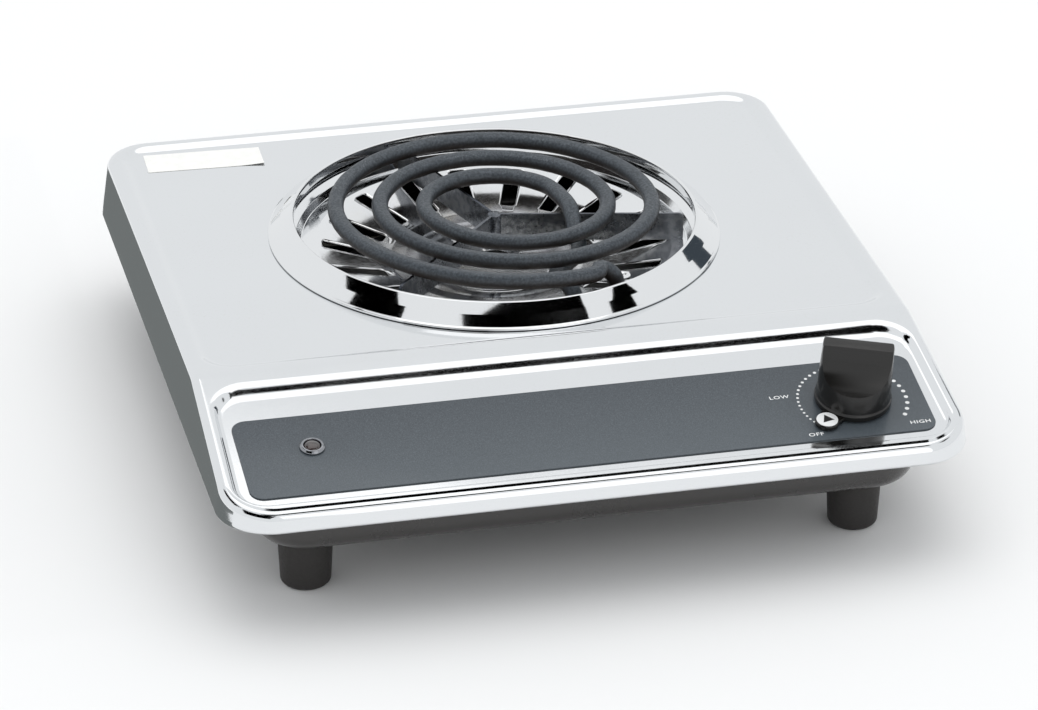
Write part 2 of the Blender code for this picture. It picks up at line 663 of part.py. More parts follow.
def coil_points():
    """Centreline from the inner leg's end, under the turns, round them and out to the outer leg."""
    out = Vector((cos(LEG_ANGLE), sin(LEG_ANGLE), 0))
    across = Vector((-out.y, out.x, 0))
    inner_end = out * LEG_END_R - across * LEG_SPREAD
    outer_end = out * LEG_END_R + across * LEG_SPREAD

    def at(point, z):
        return Vector((point.x, point.y, z))

    start = Vector((cos(COIL_START), sin(COIL_START), 0)) * turn_radius(COIL_START)
    inner = [
        at(inner_end, LEG_Z),
        at(inner_end - out * 10 * MM, LEG_Z),
        at(inner_end - out * 19 * MM, LEG_Z + 1.5 * MM),
        at(inner_end - out * 26 * MM, LEG_Z + 8 * MM),
        at(inner_end - out * 33 * MM, UNDERPASS_Z - 1.2 * MM),
        at(inner_end - out * 44 * MM + across * 1.5 * MM, UNDERPASS_Z),
        Vector((30 * MM, -36 * MM, UNDERPASS_Z)),
        Vector((31.5 * MM, -24 * MM, UNDERPASS_Z + 3.2 * MM)),
        Vector((32.2 * MM, -14 * MM, COIL_Z - 1.2 * MM)),
        Vector((32.4 * MM, -5 * MM, COIL_Z)),
    ]
    outer = [
        at(out * 78 * MM + across * 1 * MM, COIL_Z - 0.6 * MM),
        at(out * 79.5 * MM + across * 7 * MM, COIL_Z - 5.5 * MM),
        at(out * 79 * MM + across * LEG_SPREAD, COIL_Z - 13 * MM),
        at(out * 81.5 * MM + across * LEG_SPREAD, LEG_Z + 3 * MM),
        at(outer_end - out * 11 * MM, LEG_Z),
        at(outer_end, LEG_Z),
    ]
    last = Vector((cos(COIL_END), sin(COIL_END), 0)) * turn_radius(COIL_END)
    turns = []
    count = 56
    for k in range(count + 1):
        angle = COIL_START + (COIL_END - COIL_START) * k / count
        radius = turn_radius(angle)
        turns.append(Vector((radius * cos(angle), radius * sin(angle), COIL_Z)))
    lead_in = smooth_path([*inner, at(start, COIL_Z), turns[1]], 5 * MM)
    lead_out = smooth_path([turns[-2], at(last, COIL_Z), *outer], 4 * MM)
    while (lead_in[-1] - turns[0]).length > 1e-6:
        lead_in.pop()
    while (lead_out[0] - turns[-1]).length > 1e-6:
        lead_out.pop(0)
    return [BURNER + p for p in [*lead_in, *turns[1:-1], *lead_out]]


def make_coil(material):
    return tube("heating_coil", coil_points(), COIL_TUBE_R, material, 2)


def make_support_spider(material):
    """Three upright strips from the middle to the bowl's ledge, joined where they meet."""
    height = (0, 0, ARM_BOTTOM_Z + ARM_HEIGHT / 2)
    hub = finish("support_spider", rod(3.2 * MM, ARM_BOTTOM_Z, ARM_TOP_Z, 24), material, burner_frame())
    for k in range(3):
        arm = block((ARM_REACH - 1 * MM, ARM_SHEET, ARM_HEIGHT), (ARM_REACH / 2 + 0.5 * MM, 0, height[2]))
        join(hub, arm, burner_frame(ARM_ANGLE + k * 2 * pi / 3), f"arm_{k}")
    return hub


def make_terminals(steel, ceramic):
    """Blades on the legs' ends, and the block with open slots that they plug into."""
    for side, label in ((-1, "inner"), (1, "outer")):
        middle = (LEG_END_R + TOUCH_GAP + BLADE_SIZE[0] / 2, side * LEG_SPREAD, LEG_Z)
        blade = block(BLADE_SIZE, middle)
        finish(f"terminal_blade_{label}", blade, steel, burner_frame(LEG_ANGLE))
    low = LEG_Z - BLOCK_SIZE[2] / 2
    near = TIP_R + 0.5 * MM
    body = block(BLOCK_SIZE, (near + BLOCK_SIZE[0] / 2, 0, LEG_Z))
    receptacle = finish("terminal_block", body, ceramic, burner_frame(LEG_ANGLE))
    for side in (-1, 1):
        roof = LEG_Z + 4.2 * MM
        middle = (near + 4.6 * MM, side * LEG_SPREAD, (roof + low - 5 * MM) / 2)
        slot = block((16 * MM, 4.5 * MM, roof - low + 5 * MM), middle)
        cut(receptacle, slot, burner_frame(LEG_ANGLE), "left" if side < 0 else "right")
    return receptacle


def make_block_bracket(material):
    """An angle bracket from the pan's floor up behind the terminal block."""
    near = TIP_R + 0.5 * MM + BLOCK_SIZE[0] + TOUCH_GAP
    foot, top = FLOOR_Z + TOUCH_GAP, LEG_Z + 5 * MM
    sheet = 1.2 * MM
    upright = block((sheet, BRACKET_WIDTH, top - foot), (near + sheet / 2, 0, (top + foot) / 2))
    bracket = finish("terminal_bracket", upright, material, burner_frame(LEG_ANGLE))
    toe = block((15 * MM, BRACKET_WIDTH - 4 * MM, sheet), (near + 7.5 * MM, 0, foot + sheet / 2))
    join(bracket, toe, burner_frame(LEG_ANGLE), "toe")
    return bracket


def make_heat_shield(material):
    """A shallow inverted pan on the base pan's floor that keeps heat from the table."""
    foot = FLOOR_Z + TOUCH_GAP
    outer, sheet, top = SHIELD_R, 0.8 * MM, FLOOR_Z + SHIELD_RISE
    profile = [(10 * MM, top), (outer - 2 * MM, top), (outer, top - 2 * MM), (outer, foot)]
    profile += [(outer - sheet, foot), (outer - sheet, top - 2 * MM)]
    profile += [(outer - 2.3 * MM, top - sheet), (10 * MM, top - sheet)]
    return finish("heat_shield", turned(profile, 40, ring=True), material, burner_frame())


# ---------------------------------------------------------------- controls
def make_nameplate(material):
    bm = bmesh.new()
    half = PLATE_LENGTH / 2
    plan = [p for p, _ in outline(PLATE_WIDTH / 2, -half, half, 6 * MM)]
    rows = skin(bm, [[(*p, z) for p in plan] for z in (THIN_GAP, PLATE_LIFT)])
    bm.faces.new(rows[0])
    bm.faces.new(rows[1])
    plate = finish("nameplate", facing_out(bm), material, tray_frame(0, PLATE_Y))
    cut(plate, rod(BUSH_R + HOLE_GAP, -5 * MM, 5 * MM), tray_frame(DIAL_X, CONTROL_Y), "shaft_hole")
    cut(plate, rod(PILOT_BODY_R + HOLE_GAP, -5 * MM, 5 * MM), tray_frame(PILOT_X, PILOT_Y), "pilot_hole")
    return plate


def make_knob(material):
    low = KNOB_LIFT
    top = low + KNOB_HEIGHT
    bore = SHAFT_R + 0.15 * MM
    profile = [
        (0, top),
        (KNOB_R - 1.4 * MM, top),
        (KNOB_R - 0.5 * MM, top - 0.6 * MM),
        (KNOB_R - 0.2 * MM, top - 1.6 * MM),
        (KNOB_R + 0.3 * MM, low + 3.4 * MM),
        (KNOB_R + 0.8 * MM, low + 2.4 * MM),
        (KNOB_R + 0.8 * MM, low),
        (12.2 * MM, low),
        (12.2 * MM, low + 6 * MM),
        (bore, low + 6 * MM),
        (bore, low + 19 * MM),
        (0, low + 19 * MM),
    ]
    knob = finish("knob", turned(profile, 48), material, tray_frame(DIAL_X, CONTROL_Y))
    way = tray_frame(DIAL_X, CONTROL_Y) @ Matrix.Rotation(POINTER_ANGLE, 4, "Z")
    ear = rod(POINTER_R + 0.5 * MM, low, low + EAR_SHEET, 32)
    join(knob, ear, way @ Matrix.Translation((POINTER_REACH, 0, 0)), "ear")
    neck = block((8 * MM, 8 * MM, EAR_SHEET), (POINTER_REACH - 5.5 * MM, 0, low + EAR_SHEET / 2))
    join(knob, neck, way, "neck")
    scoop_r, half_bar = 18 * MM, 3.0 * MM
    for side in (-1, 1):
        scoop = tray_frame(DIAL_X, CONTROL_Y) @ Matrix.Rotation(BAR_ANGLE, 4, "Z")
        scoop = scoop @ Matrix.Translation((0, side * (scoop_r + half_bar), low + KNOB_HEIGHT + 0.6 * MM))
        cutter = rod(scoop_r, -25 * MM, 25 * MM, 56)
        label = "front_scoop" if side < 0 else "rear_scoop"
        cut(knob, cutter, scoop @ Matrix.Rotation(pi / 2, 4, "Y"), label)
    return knob


def make_knob_pointer(material):
    way = tray_frame(DIAL_X, CONTROL_Y) @ Matrix.Rotation(POINTER_ANGLE, 4, "Z")
    seat = KNOB_LIFT + EAR_SHEET + THIN_GAP
    disc = rod(POINTER_R, seat, seat + 0.4 * MM, 32)
    finish("knob_pointer", disc, material, way @ Matrix.Translation((POINTER_REACH, 0, 0)))


def make_control(steel, phenolic, zinc):
    """The rotary control under the tray: body with its bush, turning shaft, nut and blades."""
    frame = tray_frame(DIAL_X, CONTROL_Y)
    roof = -SHELL_SHEET - TOUCH_GAP
    height = SWITCH_SIZE[2]
    body = finish("control_body", block(SWITCH_SIZE, (0, 0, roof - height / 2)), phenolic, frame)
    join(body, rod(BUSH_R, roof - 4 * MM, KNOB_LIFT + 3.5 * MM, 32), frame, "bush")
    cut(body, rod(SHAFT_R + RUNNING_GAP, roof - 10 * MM, 20 * MM, 32), frame, "bore")
    finish("control_shaft", rod(SHAFT_R, roof - 9 * MM, KNOB_LIFT + 18 * MM, 32), steel, frame)
    nut = nut_blank(NUT_ACROSS / sqrt(3), 2.6 * MM, (BUSH_R + 0.25 * MM) / cos(pi / 6), 6)
    finish("control_nut", nut, zinc, frame @ Matrix.Translation((0, 0, PLATE_LIFT + TOUCH_GAP)))
    for k, (x, y) in enumerate(((-11, -8), (11, -8), (-11, 8), (11, 8))):
        tab = block((0.8 * MM, 6.3 * MM, 6 * MM), (x * MM, y * MM, roof - height - TOUCH_GAP - 3 * MM))
        finish(f"control_blade_{k + 1}", tab, steel, frame)


def make_pilot(chrome, lens, body):
    frame = tray_frame(PILOT_X, PILOT_Y)
    seat = PLATE_LIFT + TOUCH_GAP
    inner = PILOT_BODY_R - 0.2 * MM
    bezel = [
        (inner, seat),
        (5.4 * MM, seat),
        (5.4 * MM, seat + 0.5 * MM),
        (4.9 * MM, seat + 1.3 * MM),
        (inner + 0.3 * MM, seat + 1.6 * MM),
        (inner, seat + 1.3 * MM),
    ]
    finish("pilot_bezel", turned(bezel, 24, ring=True), chrome, frame)
    dome = [(0, seat + 0.1 * MM)]
    reach = inner - TOUCH_GAP
    dome += [(reach, seat + 0.1 * MM), (reach, seat + 0.7 * MM), (0.8 * reach, seat + 1.5 * MM)]
    dome += [(0.45 * reach, seat + 2.0 * MM), (0, seat + 2.2 * MM)]
    finish("pilot_lens", turned(dome, 20), lens, frame)
    low = -17 * MM
    top = seat - TOUCH_GAP
    case = [(0, low), (PILOT_BODY_R - 0.8 * MM, low), (PILOT_BODY_R, low + 1 * MM), (PILOT_BODY_R, top)]
    case += [(2.2 * MM, top), (2.2 * MM, -10 * MM), (0, -10 * MM)]
    finish("pilot_lamp_body", turned(case, 20), body, frame)
    bore = PILOT_BODY_R + 0.2 * MM
    clip = [(bore, 0), (8 * MM, 0), (8 * MM, 0.8 * MM), (bore, 0.8 * MM)]
    under = frame @ Matrix.Translation((0, 0, -SHELL_SHEET - TOUCH_GAP - 0.8 * MM))
    finish("pilot_push_nut", turned(clip, 20, ring=True), chrome, under)


def block_end(side):
    """Where a lead meets the underside of the terminal block."""
    return burner_frame(LEG_ANGLE) @ Vector((TIP_R + 8 * MM, side * 17 * MM, LEG_Z - 10.5 * MM))


def blade_end(x, y):
    """Where a lead meets a blade under the control."""
    under = -SHELL_SHEET - SWITCH_SIZE[2] - 8.6 * MM
    return tray_frame(DIAL_X, CONTROL_Y) @ Vector((x * MM, y * MM, under))


def lead_routes():
    """Points that each lead runs through, along the pan's floor from one end to the other."""
    floor = FLOOR_Z + LEAD_R + 1.6 * MM
    inlet = Vector((INLET_X, HALF_D - PAN_END_INSET - 12 * MM, INLET_Z))
    behind, beside = HALF_D - 42 * MM, BURNER_Y - 102.6 * MM
    left = INLET_X - 5 * MM
    drop = block_end(1) + Vector((2.6 * MM, 3.9 * MM, -8.5 * MM))
    rise = blade_end(-11, 12) + Vector((-13.2 * MM, 10.6 * MM, -3.3 * MM))
    sag = drop.lerp(rise, 0.5) + Vector((7 * MM, 0, 0))
    pilot = tray_frame(PILOT_X, PILOT_Y) @ Vector((0, 1.5 * MM, -19 * MM))
    return {
        "lead_control_to_coil": [block_end(1), drop, sag, rise, blade_end(-11, 12)],
        "lead_inlet_to_coil": [
            inlet - Vector((1 * MM, 0, 0)),
            (left, HALF_D - 60 * MM, floor + 2 * MM),
            (left, BURNER_Y - 40 * MM, floor),
            (left + 40 * MM, beside, floor),
            (0, beside, floor + 4 * MM),
            block_end(-1),
        ],
        "lead_inlet_to_control": [
            inlet + Vector((3 * MM, 0, 0)),
            (INLET_X + 25 * MM, behind, floor),
            (HALF_W - 101.5 * MM, behind, floor),
            (HALF_W - 57.5 * MM, behind - 58 * MM, floor),
            (HALF_W - 51.5 * MM, KINK_Y + 15 * MM, floor),
            blade_end(11, 14),
        ],
        "lead_pilot": [
            pilot,
            pilot + Vector((16 * MM, 12 * MM, -8 * MM)),
            (PILOT_X + 56 * MM, PILOT_Y + 42 * MM, floor),
            (DIAL_X - 96 * MM, CONTROL_Y + 27.5 * MM, floor),
            (DIAL_X - 44 * MM, CONTROL_Y + 9.5 * MM, floor + 1 * MM),
            blade_end(-14, -12),
        ],
    }


def make_wires(material):
    """Heat-proof leads inside the body. Each stops just short of its terminal."""
    for name, route in lead_routes().items():
        tube(name, smooth_path(route, 16 * MM), LEAD_R, material, 1)


# ---------------------------------------------------------------- label
def make_label(material):
    """A blank paper label near the rear left corner, stuck on a little askew."""
    half_x, _, back, _ = recess_shapes()[1]
    spot = (LABEL_SIDE_INSET - half_x, back - LABEL_REAR_INSET, TOP_Z + THIN_GAP + LABEL_SIZE[2] / 2)
    place = Matrix.Translation(spot) @ Matrix.Rotation(radians(-2), 4, "Z")
    finish("blank_label", block(LABEL_SIZE), material, place)


def build():
    clear_scene()
    m = make_materials()
    make_top_shell(m["chrome"])
    make_base_pan(m["enamel"])
    make_feet(m["rubber"])
    make_screws(m["zinc"])
    make_cord_inlet(m["black"])
    make_trim_ring(m["chrome"])
    make_drip_bowl(m["chrome"])
    make_coil(m["sheath"])
    make_support_spider(m["spring_steel"])
    make_terminals(m["zinc"], m["ceramic"])
    make_block_bracket(m["zinc"])
    make_heat_shield(m["aluminium"])
    make_nameplate(m["plate"])
    make_knob(m["black"])
    make_knob_pointer(m["white"])
    make_control(m["zinc"], m["black"], m["zinc"])
    make_pilot(m["chrome"], m["lens"], m["black"])
    make_wires(m["wire"])
    make_label(m["label"])


build()
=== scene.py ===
# %% [markdown]
# # Dressing a countertop coil hot plate
# The real object is a pressed chrome shell on a black pan, with one coiled heating element, a loose
# trim ring, a drip bowl and a rotary heat control. The CAD frame already has every piece at its true
# size and in its true place. This lesson keeps that frame and gives the pieces that show a finer mesh
# and a finish: pressed chrome, oxidised coil sheath, gloss plastic, enamel, rubber and print.

# %% Load the frame
from math import asin, ceil, cos, degrees, hypot, pi, radians, sin, sqrt, tan

import bmesh
import bpy
from mathutils import Matrix, Vector


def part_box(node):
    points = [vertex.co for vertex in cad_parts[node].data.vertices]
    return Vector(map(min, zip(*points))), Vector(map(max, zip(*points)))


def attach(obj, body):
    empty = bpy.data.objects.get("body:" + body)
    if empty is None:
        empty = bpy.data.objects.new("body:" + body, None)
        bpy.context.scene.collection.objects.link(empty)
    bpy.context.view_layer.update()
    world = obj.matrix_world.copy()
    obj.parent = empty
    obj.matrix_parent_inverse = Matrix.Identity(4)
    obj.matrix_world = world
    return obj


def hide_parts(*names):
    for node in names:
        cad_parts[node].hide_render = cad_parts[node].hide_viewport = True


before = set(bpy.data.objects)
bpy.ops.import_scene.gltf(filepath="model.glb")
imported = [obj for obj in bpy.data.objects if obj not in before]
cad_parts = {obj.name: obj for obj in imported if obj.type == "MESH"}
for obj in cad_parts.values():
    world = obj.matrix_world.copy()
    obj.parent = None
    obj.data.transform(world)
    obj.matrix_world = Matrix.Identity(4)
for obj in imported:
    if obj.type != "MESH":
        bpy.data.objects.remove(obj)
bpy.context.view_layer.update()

# %% [markdown]
# ## Sizes that the pieces share
# A new piece has to land exactly where its CAD solid is. Overall places are read from the frame, and
# the press radii and slopes that a box can't tell are repeated here once, in metres.

# %% Sizes of the shell, the controls and the burner
MM = 0.001
shell_low, shell_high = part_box("top_shell")
ring_low, ring_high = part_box("trim_ring")

HALF_W = shell_high.x
HALF_D = shell_high.y
SHELL_EDGE_Z = shell_low.z
RIM_Z = shell_high.z
BURNER = Vector(((ring_low.x + ring_high.x) / 2, (ring_low.y + ring_high.y) / 2, 0))

BODY_CORNER_R = 24 * MM
WALL_LEAN = 0.125
RIM_R = 4 * MM
EDGE_R = 1.6 * MM
HEM_WIDTH = 13 * MM
SHELL_SHEET = 0.8 * MM
TILT = radians(11.2)
KINK_Y = -75.3 * MM
KINK_SOFTEN = 2.5 * MM
TOP_RECESS = 2 * MM
TRAY_RECESS = 3 * MM
TOP_Z = RIM_Z - TOP_RECESS
GAP = 0.3 * MM
print("shell", round(2 * HALF_W / MM, 1), "x", round(2 * HALF_D / MM, 1), "mm, burner centre", BURNER.y)

# %% Where a point of the sloping control tray is
def rim_z(y):
    """Height of the rim: level over the cooking top, then sloping down over the controls."""
    past = KINK_Y + KINK_SOFTEN - y
    if past <= 0:
        return RIM_Z
    if past < 2 * KINK_SOFTEN:
        return RIM_Z - tan(TILT) * past * past / (4 * KINK_SOFTEN)
    return RIM_Z - tan(TILT) * (KINK_Y - y)


def tray_frame(x, y):
    """A frame on the tray's floor, with local Z along its normal and local Y up the slope."""
    place = Matrix.Translation((x, y, rim_z(y) - TRAY_RECESS))
    return place @ Matrix.Rotation(TILT, 4, "X")


def burner_frame(angle=0.0):
    return Matrix.Translation(BURNER) @ Matrix.Rotation(angle, 4, "Z")


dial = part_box("control_nut")
print("the dial's nut is at", [round(v / MM, 1) for v in (dial[0] + dial[1]) / 2])

# %% [markdown]
# ## Mesh tools
# Sheet metal is rows of points with faces skinned between them. Turned pieces are a profile with
# every corner filleted, swept round an axis, because real pressed or moulded corners are never sharp
# and a fillet is what catches the light. Wires and the coil are one closed section swept on a path.

# %% Turn a bmesh into a piece that rides on a body
def piece(name, bm, material, body, replaces=(), place=None, sharp=35):
    """Names the mesh, shades it smooth below the sharp angle, and ties it to a CAD body."""
    bmesh.ops.recalc_face_normals(bm, faces=bm.faces)
    mesh = bpy.data.meshes.new(name)
    bm.to_mesh(mesh)
    bm.free()
    mesh.shade_smooth()
    mesh.set_sharp_from_angle(angle=radians(sharp))
    mesh.materials.append(material)
    obj = bpy.data.objects.new(name, mesh)
    bpy.context.scene.collection.objects.link(obj)
    if place is not None:
        mesh.transform(place)
    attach(obj, body)
    if replaces:
        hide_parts(*replaces)
    return obj


def add_rows(bm, rows, closed=True):
    """Faces between rows of points that run the same way round."""
    made = [[bm.verts.new(p) for p in row] for row in rows]
    for low, high in zip(made, made[1:]):
        count = len(low)
        for k in range(count if closed else count - 1):
            n = (k + 1) % count
            bm.faces.new((low[k], low[n], high[n], high[k]))
    return made


def fillet(corners, loop=True, steps=5):
    """Rounds each (x, z, radius) corner of a profile with an arc."""
    made = []
    count = len(corners)
    for k, (x, z, radius) in enumerate(corners):
        here = Vector((x, z))
        if radius <= 0 or (not loop and k in (0, count - 1)):
            made.append(here)
            continue
        back = Vector(corners[k - 1][:2]) - here
        ahead = Vector(corners[(k + 1) % count][:2]) - here
        half = back.angle(ahead) / 2
        cut = min(radius / tan(half), 0.48 * back.length, 0.48 * ahead.length)
        start, end = here + back.normalized() * cut, here + ahead.normalized() * cut
        reach = cut * tan(half)
        centre = here + (back.normalized() + ahead.normalized()).normalized() * (reach / sin(half))
        a, b = start - centre, end - centre
        for s in range(steps + 1):
            spot = a.slerp(b, s / steps) * a.length if a.angle(b) > 1e-4 else a
            made.append(centre + spot)
    return [(p.x, p.y) for p in made]


def turn(profile, segments=96, loop=True):
    """Sweeps (radius, z) points round the Z axis. A closed loop stays off the axis."""
    bm = bmesh.new()
    rows = []
    for radius, z in profile:
        if radius < 1e-7:
            rows.append([bm.verts.new((0, 0, z))] * segments)
            continue
        around = [2 * pi * k / segments for k in range(segments)]
        rows.append([bm.verts.new((radius * cos(a), radius * sin(a), z)) for a in around])
    pairs = list(zip(rows, rows[1:] + rows[:1])) if loop else list(zip(rows, rows[1:]))
    for low, high in pairs:
        for k in range(segments):
            n = (k + 1) % segments
            face = []
            for vert in (low[k], low[n], high[n], high[k]):
                if vert not in face:
                    face.append(vert)
            bm.faces.new(face)
    return bm


def smooth_path(points, step):
    """Points on a Catmull-Rom curve through the given ones, no further apart than step."""
    points = [Vector(p) for p in points]
    padded = [2 * points[0] - points[1], *points, 2 * points[-1] - points[-2]]
    path = [points[0]]
    for a, b, c, d in zip(padded, padded[1:], padded[2:], padded[3:]):
        count = max(1, ceil((c - b).length / step))
        for k in range(1, count + 1):
            t = k / count
            near = 2 * b + (c - a) * t + (2 * a - 5 * b + 4 * c - d) * t**2
            path.append((near + (3 * b - 3 * c + d - a) * t**3) / 2)
    return path


def sweep(path, section, up=Vector((0, 0, 1))):
    """A closed section of (side, up) offsets swept along a path and capped at both ends."""
    rows = []
    for k, point in enumerate(path):
        along = (path[min(k + 1, len(path) - 1)] - path[max(k - 1, 0)]).normalized()
        if k == 0:
            side = along.cross(up).normalized()
        else:
            side = (side - along * side.dot(along)).normalized()
        over = side.cross(along).normalized()
        rows.append([point + side * s + over * u for s, u in section(k / (len(path) - 1))])
    bm = bmesh.new()
    made = add_rows(bm, rows)
    bm.faces.new(made[0])
    bm.faces.new(made[-1])
    return bm


def circle(radius, sides=16):
    return [(radius * cos(2 * pi * k / sides), radius * sin(2 * pi * k / sides)) for k in range(sides)]


def box_mesh(size, centre=(0, 0, 0), round_off=0.0, segments=2):
    bm = bmesh.new()
    bmesh.ops.create_cube(bm, size=1.0)
    bmesh.ops.scale(bm, vec=size, verts=bm.verts)
    if round_off:
        bmesh.ops.bevel(bm, geom=bm.edges, offset=round_off, segments=segments, affect="EDGES", profile=0.5)
    bmesh.ops.translate(bm, vec=centre, verts=bm.verts)
    return bm


def subtract(obj, bm):
    """Cuts a closed bmesh out of a piece with a Boolean, and applies it."""
    bmesh.ops.recalc_face_normals(bm, faces=bm.faces)
    mesh = bpy.data.meshes.new("cutter")
    bm.to_mesh(mesh)
    bm.free()
    tool = bpy.data.objects.new("cutter", mesh)
    bpy.context.scene.collection.objects.link(tool)
    boolean = obj.modifiers.new("cut", "BOOLEAN")
    boolean.operation = "DIFFERENCE"
    boolean.object = tool
    settle(obj)
    bpy.data.objects.remove(tool)


def settle(obj):
    """Replaces the piece's mesh by what its modifiers make of it."""
    bpy.context.view_layer.update()
    graph = bpy.context.evaluated_depsgraph_get()
    made = bpy.data.meshes.new_from_object(obj.evaluated_get(graph))
    made.name = obj.data.name
    obj.modifiers.clear()
    obj.data = made


print("mesh tools ready")

# %% [markdown]
# ## Surface effects that several finishes use
# Each effect is a shader node group with named inputs, so one recipe serves many materials with their
# own amounts. Groups only hand out masks, values and normals. The Principled shader stays in the
# material, where its plain numbers can be read.

# %% Small tools for node trees
def add_node(tree, kind, **values):
    """Adds a node and fills its sockets: a number or colour is set, an output socket is linked."""
    made = tree.nodes.new(kind)
    for key, value in values.items():
        put(tree, made.inputs[key.replace("_", " ")], value)
    return made


def put(tree, socket, value):
    if isinstance(value, bpy.types.NodeSocket):
        tree.links.new(value, socket)
    else:
        socket.default_value = value


def maths(tree, operation, a, b=0.0, clamp=False):
    made = tree.nodes.new("ShaderNodeMath")
    made.operation = operation
    made.use_clamp = clamp
    put(tree, made.inputs[0], a)
    put(tree, made.inputs[1], b)
    return made.outputs[0]


def remap(tree, value, low, high, to_low, to_high, smooth=True):
    made = tree.nodes.new("ShaderNodeMapRange")
    made.interpolation_type = "SMOOTHSTEP" if smooth else "LINEAR"
    for socket, number in zip(made.inputs[:5], (value, low, high, to_low, to_high)):
        put(tree, socket, number)
    return made.outputs[0]


def mix_colour(tree, share, a, b):
    made = tree.nodes.new("ShaderNodeMix")
    made.data_type = "RGBA"
    put(tree, made.inputs[0], share)
    put(tree, made.inputs[6], a)
    put(tree, made.inputs[7], b)
    return made.outputs[2]


def noise(tree, scale, detail=2.0, roughness=0.5):
    made = tree.nodes.new("ShaderNodeTexNoise")
    put(tree, made.inputs["Scale"], scale)
    made.inputs["Detail"].default_value = detail
    made.inputs["Roughness"].default_value = roughness
    vector = tree.nodes.new("ShaderNodeTexCoord").outputs["Object"]
    tree.links.new(vector, made.inputs["Vector"])
    return made.outputs["Fac"]


def new_group(name, inputs, outputs):
    """An empty node group with named sockets. Inputs map a name to its usual value."""
    tree = bpy.data.node_groups.new(name, "ShaderNodeTree")
    for label, value in inputs.items():
        made = tree.interface.new_socket(label, in_out="INPUT", socket_type="NodeSocketFloat")
        made.default_value = value
    for label, kind in outputs.items():
        tree.interface.new_socket(label, in_out="OUTPUT", socket_type=kind)
    entry, leave = tree.nodes.new("NodeGroupInput"), tree.nodes.new("NodeGroupOutput")
    return tree, entry.outputs, leave.inputs


def use_group(tree, group, **values):
    made = tree.nodes.new("ShaderNodeGroup")
    made.node_tree = group
    for key, value in values.items():
        put(tree, made.inputs[key.replace("_", " ")], value)
    return made.outputs


print("node tools ready")

# %% Effect: cloudy variation, for roughness that is never quite even
def make_cloud_group():
    """Large soft patches with finer mottling on top, mapped between two values."""
    tree, take, give = new_group(
        "cloudy_value",
        {"Patch Scale": 30, "Fine Scale": 300, "Low": 0.1, "High": 0.2},
        {"Value": "NodeSocketFloat"},
    )
    patches = noise(tree, take["Patch Scale"], 3)
    fine = noise(tree, take["Fine Scale"], 2)
    both = maths(tree, "ADD", maths(tree, "MULTIPLY", patches, 0.65), maths(tree, "MULTIPLY", fine, 0.35))
    tree.links.new(remap(tree, both, 0.35, 0.65, take["Low"], take["High"]), give["Value"])
    return tree


cloudy = make_cloud_group()
print("group", cloudy.name)

# %% Effect: the slow waviness of pressed sheet
def make_wave_group():
    """Two scales of low bumps. Height is in metres, so the amounts read as real dents."""
    tree, take, give = new_group(
        "sheet_wave",
        {"Wide Scale": 9, "Fine Scale": 900, "Wide": 0.0002, "Fine": 0.000002},
        {"Normal": "NodeSocketVector"},
    )
    wide = tree.nodes.new("ShaderNodeBump")
    put(tree, wide.inputs["Height"], noise(tree, take["Wide Scale"], 1))
    put(tree, wide.inputs["Distance"], take["Wide"])
    fine = tree.nodes.new("ShaderNodeBump")
    put(tree, fine.inputs["Height"], noise(tree, take["Fine Scale"], 2))
    put(tree, fine.inputs["Distance"], take["Fine"])
    tree.links.new(wide.outputs["Normal"], fine.inputs["Normal"])
    tree.links.new(fine.outputs["Normal"], give["Normal"])
    return tree


sheet_wave = make_wave_group()
print("group", sheet_wave.name)

# %% Effect: worn edges
def make_wear_group():
    """A mask that is 1 on outer edges, broken up by noise so that it looks rubbed, not painted."""
    tree, take, give = new_group(
        "edge_wear", {"Start": 0.52, "End": 0.6, "Break Scale": 400}, {"Mask": "NodeSocketFloat"}
    )
    edge = tree.nodes.new("ShaderNodeNewGeometry").outputs["Pointiness"]
    found = remap(tree, edge, take["Start"], take["End"], 0.0, 1.0)
    broken = remap(tree, noise(tree, take["Break Scale"], 4), 0.35, 0.6, 0.3, 1.0)
    tree.links.new(maths(tree, "MULTIPLY", found, broken, True), give["Mask"])
    return tree


edge_wear = make_wear_group()
print("group", edge_wear.name)

# %% Effect: dust and grime that settle where a surface faces up
def make_settle_group():
    """A mask of fine specks that is strongest on level surfaces."""
    tree, take, give = new_group(
        "settled_specks", {"Scale": 600, "Amount": 0.2, "Facing": 0.2}, {"Mask": "NodeSocketFloat"}
    )
    normal = tree.nodes.new("ShaderNodeNewGeometry").outputs["Normal"]
    parts = tree.nodes.new("ShaderNodeSeparateXYZ")
    tree.links.new(normal, parts.inputs[0])
    upward = remap(tree, parts.outputs["Z"], take["Facing"], 1.0, 0.0, 1.0)
    specks = remap(tree, noise(tree, take["Scale"], 3), 0.52, 0.72, 0.0, 1.0)
    patches = remap(tree, noise(tree, 25, 3), 0.35, 0.65, 0.3, 1.0)
    mask = maths(tree, "MULTIPLY", maths(tree, "MULTIPLY", specks, patches), upward)
    tree.links.new(maths(tree, "MULTIPLY", mask, take["Amount"], True), give["Mask"])
    return tree


settled = make_settle_group()
print("group", settled.name)

# %% [markdown]
# ## Finishes
# Chrome shows only what it reflects, so its own work is small: a tint, a roughness that clouds a
# little, and the slow waviness that makes reflected edges wander. The dark finishes carry more of
# their own texture: mottled oxide on the coil, orange peel in the enamel, mould grain on the knob.

# %% A Principled material with plain numbers on its own sockets
def new_material(name, colour, roughness, metallic=0.0):
    material = bpy.data.materials.new(name)
    material.use_nodes = True
    tree = material.node_tree
    shader = tree.nodes["Principled BSDF"]
    shader.inputs["Base Color"].default_value = (*colour, 1)
    shader.inputs["Roughness"].default_value = roughness
    shader.inputs["Metallic"].default_value = metallic
    return material, tree, shader.inputs


